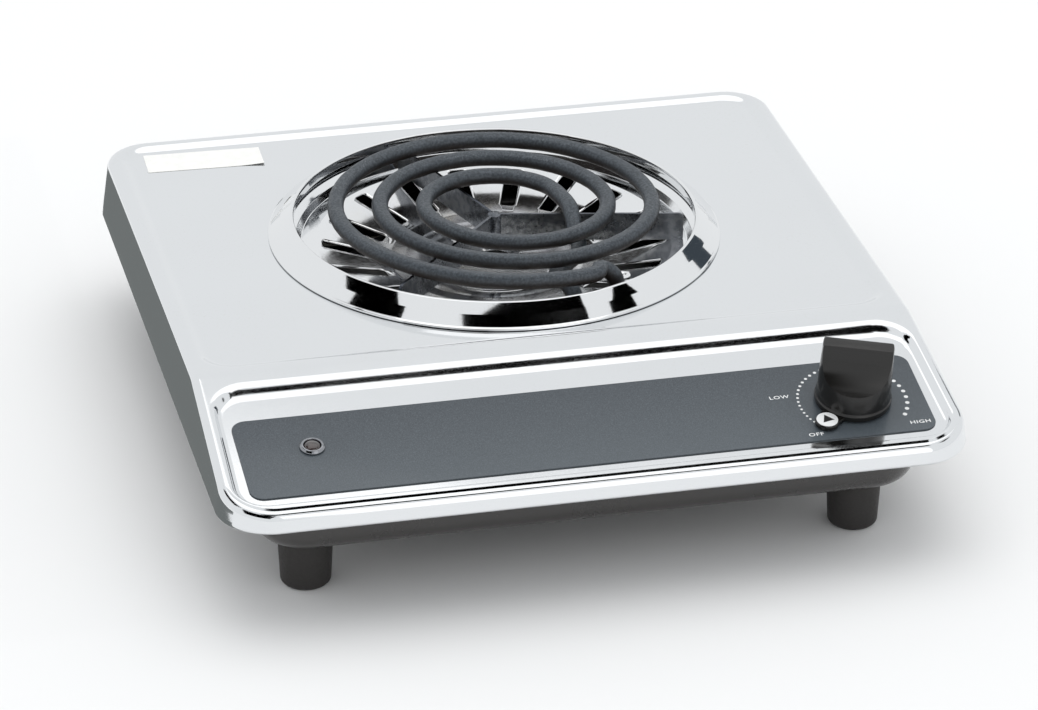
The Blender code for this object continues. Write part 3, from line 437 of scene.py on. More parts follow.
def cloud_value(tree, patch, fine, low, high):
    return use_group(tree, cloudy, Patch_Scale=patch, Fine_Scale=fine, Low=low, High=high)["Value"]


def add_waves(tree, take, wide_scale, fine_scale, wide, fine):
    wave = use_group(tree, sheet_wave, Wide_Scale=wide_scale, Fine_Scale=fine_scale, Wide=wide, Fine=fine)
    put(tree, take["Normal"], wave["Normal"])


def add_grain(tree, take, depth, height):
    bump = add_node(tree, "ShaderNodeBump", Distance=depth, Height=height)
    put(tree, take["Normal"], bump.outputs["Normal"])


# %% Chrome plate on pressed steel
def chrome_finish(name, colour, rough_low, rough_high, wide=0.00025, fine=0.0000015, specks=0.25):
    material, tree, take = new_material(name, colour, rough_low, 1.0)
    rough = cloud_value(tree, 22.0, 900.0, rough_low, rough_high)
    dust = use_group(tree, settled, Scale=700.0, Amount=specks, Facing=0.5)["Mask"]
    tint = mix_colour(tree, noise(tree, 14, 3), (*colour, 1), (*[c * 0.965 for c in colour], 1))
    put(tree, take["Base Color"], mix_colour(tree, dust, tint, (0.74, 0.74, 0.73, 1)))
    put(tree, take["Roughness"], maths(tree, "ADD", rough, maths(tree, "MULTIPLY", dust, 0.25), True))
    add_waves(tree, take, 8.0, 1400.0, wide, fine)
    return material


CHROME = (0.80, 0.815, 0.83)
shell_chrome = chrome_finish("shell_chrome", CHROME, 0.055, 0.10)
ring_chrome = chrome_finish("ring_chrome", (0.83, 0.84, 0.85), 0.03, 0.06, wide=0.0001, specks=0.12)
bezel_chrome = chrome_finish("bezel_chrome", (0.30, 0.31, 0.33), 0.08, 0.14, wide=0.00002, specks=0.1)
print("chrome:", shell_chrome.name, ring_chrome.name, bezel_chrome.name)

# %% Chrome of the drip bowl, clouded by heat
def bowl_finish():
    """Heat stains the plating straw and grey where the coil is nearest, so the tint follows the radius."""
    material, tree, take = new_material("bowl_chrome", (0.82, 0.83, 0.84), 0.07, 1.0)
    point = tree.nodes.new("ShaderNodeTexCoord").outputs["Object"]
    middle = tree.nodes.new("ShaderNodeVectorMath")
    middle.operation = "DISTANCE"
    tree.links.new(point, middle.inputs[0])
    middle.inputs[1].default_value = (BURNER.x, BURNER.y, RIM_Z)
    cloud = noise(tree, 28, 4)
    near = remap(tree, middle.outputs["Value"], 0.03, 0.085, 1.0, 0.0)
    stain = maths(tree, "MULTIPLY", near, remap(tree, cloud, 0.4, 0.65, 0.0, 0.8), True)
    patches = remap(tree, noise(tree, 60, 3), 0.4, 0.6, 0.0, 1.0)
    straw = mix_colour(tree, patches, (0.62, 0.58, 0.52, 1), (0.5, 0.5, 0.53, 1))
    put(tree, take["Base Color"], mix_colour(tree, stain, (0.82, 0.83, 0.84, 1), straw))
    rough = cloud_value(tree, 40.0, 500.0, 0.05, 0.12)
    put(tree, take["Roughness"], maths(tree, "ADD", rough, maths(tree, "MULTIPLY", stain, 0.18), True))
    add_waves(tree, take, 20.0, 900.0, 0.00015, 0.000003)
    return material


bowl_chrome = bowl_finish()
print("bowl:", bowl_chrome.name)

# %% Oxidised sheath of the coil
def sheath_finish():
    """Blue-grey oxide with pale specks on top, darker brown on the sides and underneath: partly soot,
    partly painted shade.
    """
    material, tree, take = new_material("coil_sheath", (0.06, 0.07, 0.085), 0.6, 0.25)
    mottle = remap(tree, noise(tree, 900, 3, 0.5), 0.35, 0.68, 0.0, 1.0)
    blue = mix_colour(tree, mottle, (0.034, 0.042, 0.051, 1), (0.062, 0.074, 0.088, 1))
    normal = tree.nodes.new("ShaderNodeNewGeometry").outputs["Normal"]
    parts = tree.nodes.new("ShaderNodeSeparateXYZ")
    tree.links.new(normal, parts.inputs[0])
    # The mask grows as the surface faces down. The dark brown it mixes in is painted shade as well as soot.
    under = remap(tree, parts.outputs["Z"], -0.45, 0.62, 1.0, 0.0)
    soot_and_shade_brown = mix_colour(tree, noise(tree, 120, 3), (0.012, 0.009, 0.007, 1), (0.045, 0.032, 0.024, 1))
    oxide_with_soot_and_shade = mix_colour(tree, maths(tree, "MULTIPLY", under, 0.9), blue, soot_and_shade_brown)
    specks = use_group(tree, settled, Scale=1500.0, Amount=0.55, Facing=0.3)["Mask"]
    put(tree, take["Base Color"], mix_colour(tree, specks, oxide_with_soot_and_shade, (0.22, 0.24, 0.26, 1)))
    put(tree, take["Roughness"], remap(tree, mottle, 0.0, 1.0, 0.50, 0.40))
    add_grain(tree, take, 0.00005, noise(tree, 700, 5, 0.65))
    return material


coil_sheath = sheath_finish()
print("coil:", coil_sheath.name)

# %% Blued steel of the element's support
def blued_steel_finish():
    material, tree, take = new_material("blued_steel", (0.1, 0.11, 0.13), 0.3, 1.0)
    cloud = remap(tree, noise(tree, 45, 4), 0.35, 0.65, 0.0, 1.0)
    blue = mix_colour(tree, cloud, (0.075, 0.085, 0.105, 1), (0.17, 0.18, 0.20, 1))
    worn = use_group(tree, edge_wear, Start=0.53, End=0.62, Break_Scale=300.0)["Mask"]
    put(tree, take["Base Color"], mix_colour(tree, worn, blue, (0.62, 0.63, 0.64, 1)))
    put(tree, take["Roughness"], cloud_value(tree, 60.0, 900.0, 0.22, 0.38))
    add_waves(tree, take, 40.0, 1200.0, 0.0001, 0.000006)
    return material


blued_steel = blued_steel_finish()
print("support:", blued_steel.name)

# %% Black finishes: enamel, moulded plastic and rubber
def black_finish(name, colour, rough, grain, depth, coat=0.0, dust=0.1):
    """A dark base with its own grain, slightly paler where dust settles."""
    material, tree, take = new_material(name, colour, rough, 0.0)
    take["Coat Weight"].default_value = coat
    take["Coat Roughness"].default_value = 0.12
    settle_mask = use_group(tree, settled, Scale=900.0, Amount=dust, Facing=0.2)["Mask"]
    shade = mix_colour(tree, noise(tree, 35, 2), (*colour, 1), (*[c * 1.5 for c in colour], 1))
    put(tree, take["Base Color"], mix_colour(tree, settle_mask, shade, (0.16, 0.155, 0.15, 1)))
    put(tree, take["Roughness"], cloud_value(tree, 35.0, grain, rough * 0.85, rough * 1.2))
    add_grain(tree, take, depth, noise(tree, grain, 3))
    return material


pan_enamel = black_finish("pan_enamel", (0.016, 0.014, 0.013), 0.30, 320.0, 0.00005, coat=0.5)
knob_plastic = black_finish("knob_plastic", (0.006, 0.0055, 0.005), 0.22, 1500.0, 0.000006, dust=0.04)
foot_rubber = black_finish("foot_rubber", (0.017, 0.015, 0.014), 0.55, 900.0, 0.00004, dust=0.25)
inner_plastic = black_finish("inner_plastic", (0.02, 0.02, 0.02), 0.4, 1100.0, 0.00001)
print("blacks:", pan_enamel.name, knob_plastic.name, foot_rubber.name, inner_plastic.name)

# %% Nameplate: blue-grey print under clear gloss
def plate_finish():
    """The colour darkens towards the top edge: in part the print's own tone, in part a painted reflection
    gradient. The clear coat adds real reflections over it.
    """
    material, tree, take = new_material("nameplate_print_and_reflection", (0.09, 0.11, 0.135), 0.35, 0.0)
    take["Coat Weight"].default_value = 0.35
    take["Coat Roughness"].default_value = 0.04
    take["Specular IOR Level"].default_value = 0.25
    point = tree.nodes.new("ShaderNodeTexCoord").outputs["Object"]
    parts = tree.nodes.new("ShaderNodeSeparateXYZ")
    tree.links.new(point, parts.inputs[0])
    low, high = PLATE_Y - PLATE_LENGTH / 2, PLATE_Y + PLATE_LENGTH / 2
    # Darker at the top edge and lighter at the bottom: a painted reflection gradient, in part the print's
    # own tone.
    up = remap(tree, parts.outputs["Y"], low, high, 0.0, 1.0, smooth=False)
    body = mix_colour(tree, up, (0.070, 0.084, 0.096, 1), (0.038, 0.047, 0.057, 1))
    fleck = remap(tree, noise(tree, 2600, 2), 0.4, 0.7, 0.0, 0.35)
    put(tree, take["Base Color"], mix_colour(tree, fleck, body, (0.16, 0.185, 0.21, 1)))
    put(tree, take["Roughness"], cloud_value(tree, 30.0, 1500.0, 0.28, 0.4))
    add_waves(tree, take, 12.0, 1800.0, 0.00012, 0.000001)
    return material


PLATE_WIDTH = 295 * MM
PLATE_LENGTH = 51.5 * MM
PLATE_Y = -130 * MM
PLATE_LIFT = 0.6 * MM
nameplate_print_and_reflection = plate_finish()
print("plate:", nameplate_print_and_reflection.name)

# %% Print, paper, lens and the small metal parts
def simple_finish(name, colour, rough, metallic=0.0, grain=800.0, depth=0.00001, spread=0.12, dust=0.1):
    """A plain stock finish: mottled colour, clouded roughness, a grain, and a little dust."""
    material, tree, take = new_material(name, colour, rough, metallic)
    dark = (*[c * (1 - spread) for c in colour], 1)
    pale = (*[min(1, c * (1 + spread)) for c in colour], 1)
    shade = mix_colour(tree, remap(tree, noise(tree, grain / 6, 4), 0.35, 0.65, 0.0, 1.0), dark, pale)
    specks = use_group(tree, settled, Scale=grain, Amount=dust, Facing=0.2)["Mask"]
    put(tree, take["Base Color"], mix_colour(tree, specks, shade, (*[c * 0.55 for c in colour], 1)))
    put(tree, take["Roughness"], cloud_value(tree, grain / 12, grain, rough * 0.8, min(1, rough * 1.2)))
    add_grain(tree, take, depth, noise(tree, grain, 3))
    return material


white_print = simple_finish("white_print", (0.80, 0.81, 0.81), 0.45, spread=0.03, dust=0.0)
label_paper = simple_finish(
    "label_paper", (0.86, 0.855, 0.83), 0.7, grain=1500.0, depth=0.00002, spread=0.02, dust=0.08)
zinc_plate = simple_finish("zinc_plate", (0.60, 0.60, 0.58), 0.32, 1.0, grain=900.0)
ceramic_body = simple_finish("ceramic_body", (0.74, 0.70, 0.62), 0.65, grain=500.0, depth=0.00003)
shield_metal = simple_finish("aluminised_sheet", (0.26, 0.255, 0.25), 0.45, 1.0, grain=400.0, dust=0.3)
black_print = simple_finish("black_print", (0.012, 0.012, 0.012), 0.4, dust=0.0)

lens_amber, lens_tree, lens_take = new_material("lens_amber", (0.10, 0.035, 0.03), 0.12, 0.0)
lens_take["Coat Weight"].default_value = 1.0
lens_take["Coat Roughness"].default_value = 0.03
lens_glow = remap(lens_tree, noise(lens_tree, 300, 2), 0.3, 0.7, 0.0, 1.0)
lens_colour = mix_colour(lens_tree, lens_glow, (0.016, 0.011, 0.011, 1), (0.05, 0.032, 0.03, 1))
put(lens_tree, lens_take["Base Color"], lens_colour)

wire_sleeve, wire_tree, wire_take = new_material("wire_sleeve", (0.72, 0.70, 0.64), 0.75, 0.0)
weave = wire_tree.nodes.new("ShaderNodeTexVoronoi")
weave.inputs["Scale"].default_value = 1400
wire_tree.links.new(wire_tree.nodes.new("ShaderNodeTexCoord").outputs["Object"], weave.inputs["Vector"])
braid = add_node(wire_tree, "ShaderNodeBump", Distance=0.0002, Height=weave.outputs["Distance"])
put(wire_tree, wire_take["Normal"], braid.outputs["Normal"])
wire_colour = mix_colour(wire_tree, weave.outputs["Distance"], (0.78, 0.76, 0.70, 1), (0.5, 0.48, 0.42, 1))
put(wire_tree, wire_take["Base Color"], wire_colour)
print("small finishes ready:", len(bpy.data.materials), "materials in all")

# %% [markdown]
# ## The chrome shell
# One sheet is pressed into a level cooking top and a sloping control tray, each a shallow recess
# inside a rounded rim. The top is modelled as a height over the plan: the rim's height, less the two
# recesses, which ease down along an S. A grid of quads that follows the body's outline carries that
# height, closest where the sheet bends. The walls hang from the grid's own border, so no seam shows.

# %% Plan shapes and the height of the pressed top
PANEL = ((153, -71, 161.5, 15.8), (147, -65, 156, 10))
TRAY = ((153.2, -163.3, -83, 15.5), (150.4, -160, -91, 12))


def outside(x, y, shape):
    """Distance outside a rounded rectangle (half width, low y, high y, corner), negative inside."""
    half_x, y_low, y_high, corner = (v * MM for v in shape)
    dx = abs(x) - (half_x - corner)
    dy = abs(y - (y_low + y_high) / 2) - ((y_high - y_low) / 2 - corner)
    return hypot(max(dx, 0), max(dy, 0)) + min(max(dx, dy), 0) - corner


def recess(x, y, edge, flat, depth):
    """How far a recess has pressed the sheet down at a point, easing in along an S."""
    past_edge = -outside(x, y, edge)
    if past_edge <= 0:
        return 0.0
    to_flat = outside(x, y, flat)
    if to_flat <= 0:
        return depth
    share = past_edge / (past_edge + to_flat)
    return depth * share * share * (3 - 2 * share)


def wall_inset(y):
    """How far the rim's crest is inside the shell's bottom edge, in plan."""
    return WALL_LEAN * (rim_z(y) - RIM_R - SHELL_EDGE_Z) + RIM_R


def half_width_at(z):
    return HALF_W - WALL_LEAN * (z - SHELL_EDGE_Z)


def top_height(x, y):
    stretch = half_width_at(rim_z(y)) / half_width_at(RIM_Z)
    return rim_z(y) - recess(x, y, *PANEL, TOP_RECESS) - recess(x / stretch, y, *TRAY, TRAY_RECESS)


print("top beside the burner", round(top_height(0.12, 0.04) / MM, 2), "mm")
print("tray in its middle", round(top_height(0, -0.13) / MM, 2), "mm")

# %% The right-hand half of the outline, as (plan point, outward direction)
def stops(start, end, step):
    count = max(1, round(abs(end - start) / step))
    return [start + (end - start) * k / count for k in range(1, count + 1)]


def right_side():
    """From the front corner's start, up the side, to the back corner's end."""
    made = []
    centre_x, end_y = HALF_W - BODY_CORNER_R, HALF_D - BODY_CORNER_R
    turns = [pi / 2 * k / 40 for k in range(41)]
    for a in turns:
        way = Vector((sin(a), -cos(a)))
        made.append((Vector((centre_x, -end_y)) + way * BODY_CORNER_R, way))
    marks = stops(-end_y, -97 * MM, 4 * MM) + stops(-97 * MM, -53 * MM, 0.7 * MM)
    marks += stops(-53 * MM, end_y, 4 * MM)[:-1]
    made += [(Vector((HALF_W, y)), Vector((1, 0))) for y in marks]
    for a in turns:
        way = Vector((cos(a), sin(a)))
        made.append((Vector((centre_x, end_y)) + way * BODY_CORNER_R, way))
    return made


def crest(plan, way):
    return plan - way * wall_inset(plan.y)


side = right_side()
print("the outline's right side has", len(side), "stations")

# %% Columns across the top, closer together near both sides
def columns():
    """Shares of the half width from -1 to 1."""
    outer = [1 - 0.0055 * k for k in range(26)]
    inner = [outer[-1] * (1 - k / 26) for k in range(1, 27)]
    half = outer + inner
    return [-v for v in half] + half[::-1][1:]


across = columns()
print("columns", len(across))

# %% Skin the top, hang the walls, and give the sheet its thickness
def wall_profile():
    """(inset, height) rules from the crest down round the rim, the wall and the turned-in hem."""
    rules = []
    for k in range(1, 13):
        a = pi / 2 * (1 - k / 12)
        rules.append((
            lambda y, a=a: WALL_LEAN * (rim_z(y) - RIM_R - SHELL_EDGE_Z) + RIM_R * (1 - cos(a)),
            lambda y, a=a: rim_z(y) - RIM_R * (1 - sin(a)),
        ))
    for share in (0.25, 0.5, 0.75):
        rules.append((
            lambda y, s=share: WALL_LEAN * (rim_z(y) - RIM_R - SHELL_EDGE_Z) * (1 - s),
            lambda y, s=share: (rim_z(y) - RIM_R) * (1 - s) + (SHELL_EDGE_Z + EDGE_R) * s,
        ))
    for k in range(0, 7):
        a = pi / 2 * k / 6
        rules.append((
            lambda y, a=a: EDGE_R * (1 - cos(a)),
            lambda y, a=a: SHELL_EDGE_Z + EDGE_R * (1 - sin(a)),
        ))
    rules.append((lambda y: HEM_WIDTH / 2, lambda y: SHELL_EDGE_Z))
    rules.append((lambda y: HEM_WIDTH, lambda y: SHELL_EDGE_Z))
    return rules


def end_border(line, half_x, y):
    """(vertex, plan point, outward way) along the grid's front or back row."""
    way = Vector((0, 1 if y > 0 else -1))
    return [(vert, Vector((half_x * t, y)), way) for vert, t in zip(line, across)]


def shell_mesh():
    bm = bmesh.new()
    grid = []
    rows = [(crest(p, w), p, w) for p, w in side]
    for at, p, w in rows:
        line = [bm.verts.new((at.x * t, at.y, top_height(at.x * t, at.y))) for t in across]
        grid.append(line)
    for low, high in zip(grid, grid[1:]):
        for k in range(len(across) - 1):
            bm.faces.new((low[k], low[k + 1], high[k + 1], high[k]))
    front = end_border(grid[0], rows[0][0].x, -HALF_D)
    right = [(grid[k][-1], rows[k][1], rows[k][2]) for k in range(1, len(rows) - 1)]
    back = end_border(grid[-1], rows[-1][0].x, HALF_D)[::-1]
    flip = Vector((-1, 1))
    left = [(grid[k][0], rows[k][1] * flip, rows[k][2] * flip) for k in range(len(rows) - 2, 0, -1)]
    border = front + right + back + left
    previous = [entry[0] for entry in border]
    for inset, height in wall_profile():
        ring = [bm.verts.new((*(p - w * inset(p.y)), height(p.y))) for _, p, w in border]
        for k in range(len(ring)):
            n = (k + 1) % len(ring)
            bm.faces.new((previous[k], previous[n], ring[n], ring[k]))
        previous = ring
    return bm


def burner_cutter(radius):
    """A short cylinder on the burner's axis."""
    bm = bmesh.new()
    place = Matrix.Translation((BURNER.x, BURNER.y, RIM_Z))
    bmesh.ops.create_cone(
        bm, cap_ends=True, segments=192, radius1=radius, radius2=radius, depth=30 * MM, matrix=place)
    return bm


shell_bm = shell_mesh()
chrome_shell = piece("chrome_shell", shell_bm, shell_chrome, "chassis", ["top_shell"], sharp=60)
thicken = chrome_shell.modifiers.new("sheet", "SOLIDIFY")
thicken.thickness, thicken.offset = SHELL_SHEET, -1
settle(chrome_shell)
subtract(chrome_shell, burner_cutter(94 * MM))
print("shell:", len(chrome_shell.data.vertices), "vertices")

# %% [markdown]
# ## Trim ring and drip bowl
# Both are turned sheet. The ring is a shallow cone with a rolled inner lip, so its profile is a closed
# loop with filleted corners. The bowl is a sheet with radial slots: its columns run along the slots'
# edges, so the openings are true gaps between quads, and a Solidify gives every edge its thickness.

# %% Trim ring
def make_ring():
    seat = TOP_Z + GAP
    crest_z = ring_high.z
    outer, inner, sheet = ring_high.x, 90 * MM, 0.8 * MM
    lip = 4.5 * MM
    corners = [
        (outer, seat, 0.15 * MM),
        (outer, seat + 0.7 * MM, 0.5 * MM),
        (outer - 1.1 * MM, seat + 1.3 * MM, 0.8 * MM),
        (outer - 5.4 * MM, seat + 5.15 * MM, 4 * MM),
        (inner + 1.5 * MM, crest_z - 0.1 * MM, 0.9 * MM),
        (inner + 0.3 * MM, crest_z + 0.05 * MM, 0.5 * MM),
        (inner, crest_z - 1.2 * MM, 0.5 * MM),
        (inner, crest_z - lip, 0.3 * MM),
        (inner + sheet, crest_z - lip, 0.3 * MM),
        (inner + sheet, crest_z - 1.6 * MM, 0.4 * MM),
        (inner + 1.7 * MM, crest_z - 1.2 * MM, 0.3 * MM),
        (outer - 5.9 * MM, seat + 4.35 * MM, 4 * MM),
        (outer - 1.9 * MM, seat, 0.2 * MM),
    ]
    bm = turn(fillet(corners, steps=6), 256)
    return piece("trim_ring_chrome", bm, ring_chrome, "ring", ["trim_ring"], burner_frame())


trim_ring = make_ring()
print("ring:", len(trim_ring.data.vertices), "vertices")

# %% Profile of the bowl, from the middle hole out to the flange
_, coil_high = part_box("heating_coil")
bowl_low, bowl_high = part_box("drip_bowl")
COIL_R = 3.7 * MM
COIL_Z = coil_high.z - COIL_R
LEG_ANGLE = radians(-67)
LEG_SPREAD = 9 * MM
LEG_Z = 61 * MM
BOWL_SLOTS = 18
SLOT_IN, SLOT_OUT, SLOT_HALF = 52 * MM, 77.5 * MM, 3.5 * MM
SLOT_COLUMNS, METAL_COLUMNS = 2, 10
UNSLOTTED_BY_LEGS = 16
LEDGE_Z = COIL_Z - COIL_R - 13.6 * MM - GAP + 0.3 * MM


def bowl_profile():
    """Filleted (radius, z) points, with more of them across the slotted band."""
    floor = bowl_low.z + 0.7 * MM
    flange = bowl_high.z
    corners = [
        (9, floor, 0), (40, floor, 12), (47, floor + 0.9 * MM, 10), (78, LEDGE_Z - 0.6 * MM, 1.5),
        (80, LEDGE_Z, 1.5), (87.2, LEDGE_Z, 1.2), (89.3, flange - 2.4 * MM, 2), (92.0, flange, 1.6),
        (98, flange, 0),
    ]
    rounded = fillet([(r * MM, z, radius * MM) for r, z, radius in corners], loop=False, steps=4)
    marks = {SLOT_IN + d * MM for d in (0, 0.3, 0.7, 1.4)} | {SLOT_OUT - d * MM for d in (0, 0.3, 0.7, 1.4)}
    marks |= {SLOT_IN + (SLOT_OUT - SLOT_IN) * k / 9 for k in range(10)}
    profile = []
    for a, b in zip(rounded, rounded[1:]):
        profile.append(a)
        for r in sorted(marks):
            if a[0] + 1e-6 < r < b[0] - 1e-6:
                profile.append((r, a[1] + (b[1] - a[1]) * (r - a[0]) / (b[0] - a[0])))
    return profile + [rounded[-1]]


def slot_half_at(radius):
    """Half width of a slot at a radius, with its ends rounded."""
    end = max(min(radius - SLOT_IN, SLOT_OUT - radius), 0)
    corner = 1.4 * MM
    if end >= corner:
        return SLOT_HALF
    return SLOT_HALF - corner + sqrt(corner**2 - (corner - end) ** 2)


print("bowl ledge at", round(LEDGE_Z / MM, 2), "profile points", len(bowl_profile()))

# %% Bowl with its slots, and the notch that the coil's legs go through
def make_bowl():
    profile = bowl_profile()
    sector = 2 * pi / BOWL_SLOTS
    bm = bmesh.new()
    rows = []
    for radius, z in profile:
        near = min(max(radius, SLOT_IN), SLOT_OUT)
        open_half = asin(slot_half_at(near) / near)
        line = []
        for s in range(BOWL_SLOTS):
            middle = sector * (s + 0.5)
            metal = sector - 2 * open_half
            angles = [middle - open_half + 2 * open_half * k / SLOT_COLUMNS for k in range(SLOT_COLUMNS)]
            angles += [middle + open_half + metal * k / METAL_COLUMNS for k in range(METAL_COLUMNS)]
            line += [bm.verts.new((radius * cos(a), radius * sin(a), z)) for a in angles]
        rows.append(line)
    leg = degrees(LEG_ANGLE) % 360
    for (r0, _), (r1, _), low, high in zip(profile, profile[1:], rows, rows[1:]):
        for k in range(len(low)):
            s, col = divmod(k, SLOT_COLUMNS + METAL_COLUMNS)
            middle = 360 * (s + 0.5) / BOWL_SLOTS
            far_from_leg = abs((middle - leg + 180) % 360 - 180) >= UNSLOTTED_BY_LEGS
            if col < SLOT_COLUMNS and far_from_leg and r0 >= SLOT_IN - 1e-6 and r1 <= SLOT_OUT + 1e-6:
                continue
            n = (k + 1) % len(low)
            bm.faces.new((low[k], low[n], high[n], high[k]))
    bowl = piece(
        "drip_bowl_chrome", bm, bowl_chrome, "chassis", ["drip_bowl"], burner_frame(), sharp=50)
    sheet = bowl.modifiers.new("sheet", "SOLIDIFY")
    sheet.thickness, sheet.offset = 0.7 * MM, 1
    settle(bowl)
    width = 2 * (LEG_SPREAD + COIL_R + 2.2 * MM)
    depth = TOP_Z - 55 * MM
    notch = box_mesh((26 * MM, width, depth), (81 * MM, 0, 55 * MM + depth / 2 - 0.2 * MM), 2 * MM)
    notch.transform(burner_frame(LEG_ANGLE))
    subtract(bowl, notch)
    return bowl


drip_bowl = make_bowl()
print("bowl:", len(drip_bowl.data.vertices), "vertices")

# %% [markdown]
# ## The heating element
# The coil is one long tube: out of the terminal block, under its own turns to the middle, three times
# round, and hooked down and out again. It's swept as one piece, with the top of its section pressed a
# little flat where pots stand, and its skin roughened by real displacement so its outline isn't wiry.

# %% The coil's route, the same as the CAD's
FIRST_R, PITCH = 31.5 * MM, 19.8 * MM
STEP_START, COIL_START, COIL_END = radians(200), radians(22), radians(1008)
LEG_END_R, UNDERPASS_Z = 101 * MM, 76.3 * MM
SPIRAL_STEPS = 56


def turn_radius(angle):
    turns, phase = divmod(angle, 2 * pi)
    step = max(0.0, (phase - STEP_START) / (2 * pi - STEP_START))
    return FIRST_R + PITCH * (turns + step * step * (3 - 2 * step))


def coil_route():
    out = Vector((cos(LEG_ANGLE), sin(LEG_ANGLE), 0))
    over = Vector((-out.y, out.x, 0))
    inner_end, outer_end = out * LEG_END_R - over * LEG_SPREAD, out * LEG_END_R + over * LEG_SPREAD

    def at(point, z):
        return Vector((point.x, point.y, z))

    inner = [
        at(inner_end, LEG_Z),
        at(inner_end - out * 10 * MM, LEG_Z),
        at(inner_end - out * 19 * MM, LEG_Z + 1.5 * MM),
        at(inner_end - out * 26 * MM, LEG_Z + 8 * MM),
        at(inner_end - out * 33 * MM, UNDERPASS_Z - 1.2 * MM),
        at(inner_end - out * 44 * MM + over * 1.5 * MM, UNDERPASS_Z),
    ]
    inner += [Vector((x * MM, y * MM, z)) for x, y, z in (
        (30, -36, UNDERPASS_Z),
        (31.5, -24, UNDERPASS_Z + 3.2 * MM),
        (32.2, -14, COIL_Z - 1.2 * MM),
        (32.4, -5, COIL_Z),
    )]
    outer = [
        at(out * 78 * MM + over * 1 * MM, COIL_Z - 0.6 * MM),
        at(out * 79.5 * MM + over * 7 * MM, COIL_Z - 5.5 * MM),
        at(out * 79 * MM + over * LEG_SPREAD, COIL_Z - 13 * MM),
        at(out * 81.5 * MM + over * LEG_SPREAD, LEG_Z + 3 * MM),
        at(outer_end - out * 11 * MM, LEG_Z),
        at(outer_end, LEG_Z),
    ]
    turns = []
    for k in range(SPIRAL_STEPS + 1):
        angle = COIL_START + (COIL_END - COIL_START) * k / SPIRAL_STEPS
        turns.append(Vector((turn_radius(angle) * cos(angle), turn_radius(angle) * sin(angle), COIL_Z)))
    return [BURNER + p for p in smooth_path([*inner, *turns, *outer], 2.2 * MM)]


route = coil_route()
length = sum((b - a).length for a, b in zip(route, route[1:]))
print("coil route", round(length, 3), "m in", len(route), "points")

# %% Sweep the sheath and roughen it
def sheath_section(share, sides=20):
    flat = COIL_R * 0.80
    made = []
    for s, u in circle(COIL_R, sides):
        made.append((s, u if u < flat else flat + (u - flat) * 0.35))
    return made


def make_coil():
    tube = sweep(route, sheath_section)
    coil = piece("coil_sheath_tube", tube, coil_sheath, "element", ["heating_coil"], sharp=50)
    texture = bpy.data.textures.new("sheath_skin", "CLOUDS")
    texture.noise_scale = 0.006
    texture.noise_depth = 3
    rough = coil.modifiers.new("skin", "DISPLACE")
    rough.texture = texture
    rough.texture_coords = "LOCAL"
    rough.strength = 0.00035
    rough.mid_level = 0.5
    settle(coil)
    return coil


coil = make_coil()
print("coil:", len(coil.data.vertices), "vertices")

# %% Support arms: three upright strips that meet in the middle
ARM_SHEET, ARM_HEIGHT, ARM_REACH = 1.3 * MM, 13 * MM, 85 * MM
ARM_TOP = COIL_Z - COIL_R - GAP
ARM_ANGLE = radians(-12)


def arm_mesh():
    """A strip with rounded ends and a slightly rolled edge, from the middle to the bowl's ledge."""
    bm = bmesh.new()
    corner = 2.2 * MM
    outline = [(1.5, 0, 0.2), (ARM_REACH / MM, 0, 1.2), (ARM_REACH / MM, 13, 2.2), (1.5, 13, 0.2)]
    flat = fillet([(x * MM, z * MM, r * MM) for x, z, r in outline], steps=6)
    rows = []
    for y, shrink in ((-0.5, 0.25), (-0.42, 0.1), (-0.25, 0.0), (0.25, 0.0), (0.42, 0.1), (0.5, 0.25)):
        row = []
        for x, z in flat:
            toward = Vector((ARM_REACH / 2 - x, ARM_HEIGHT / 2 - z)).normalized() * shrink * MM
            row.append((x + toward.x * 0.3, y * ARM_SHEET, ARM_TOP - ARM_HEIGHT + z + toward.y))
        rows.append(row)
    made = add_rows(bm, rows)
    bm.faces.new(made[0])
    bm.faces.new(made[-1])
    return bm


def make_spider():
    hub = [(0, 0, 0), (3.2, 0, 0.4), (3.2, 13, 0.6), (0, 13, 0)]
    low = ARM_TOP - ARM_HEIGHT
    profile = fillet([(r * MM, low + z * MM, q * MM) for r, z, q in hub], loop=False, steps=3)
    post = turn(profile, 32, loop=False)
    support = piece(
        "support_hub", post, blued_steel, "element", ["support_spider"], burner_frame())
    arms = []
    for k in range(3):
        place = burner_frame(ARM_ANGLE + k * 2 * pi / 3)
        name = f"support_arm_{k + 1}"
        arms.append(piece(name, arm_mesh(), blued_steel, "element", place=place, sharp=30))
    return [support, *arms]


spider = make_spider()
print("support:", [o.name for o in spider])

# %% Blades on the coil's ends, their block and a bonding clip
def make_bond_clip():
    """A crumpled strip of bright foil-like spring that bonds the legs to the bowl."""
    out = burner_frame(LEG_ANGLE)
    spots = [
        (70, 19, 71), (72, 17.5, 75.5), (75, 16.4, 77.6), (77.5, 15.6, 75), (76.5, 14.6, 71.6),
        (78.6, 13.8, 70.4), (80.6, 14.6, 73.6),
    ]
    path = smooth_path([out @ Vector([v * MM for v in s]) for s in spots], 0.8 * MM)
    strip = sweep(path, lambda t: [(s * 2.2, u * 0.3) for s, u in circle(1.0 * MM, 10)])
    return piece("bond_clip", strip, ring_chrome, "element")


print("clip:", make_bond_clip().name)
for label in ("inner", "outer"):
    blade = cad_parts[f"terminal_blade_{label}"].data
    blade.materials.clear()
    blade.materials.append(zinc_plate)
print("terminals finished")

# %% [markdown]
# ## Nameplate, dial print and pilot lamp
# The plate is a thin printed sheet with rounded corners. The dial's dots grow from low heat to high,
# so they are drawn by a rule: each gap is a little wider than the last. The only words are the dial's
# three plain settings. All print is a layer a few hundredths of a millimetre thick.

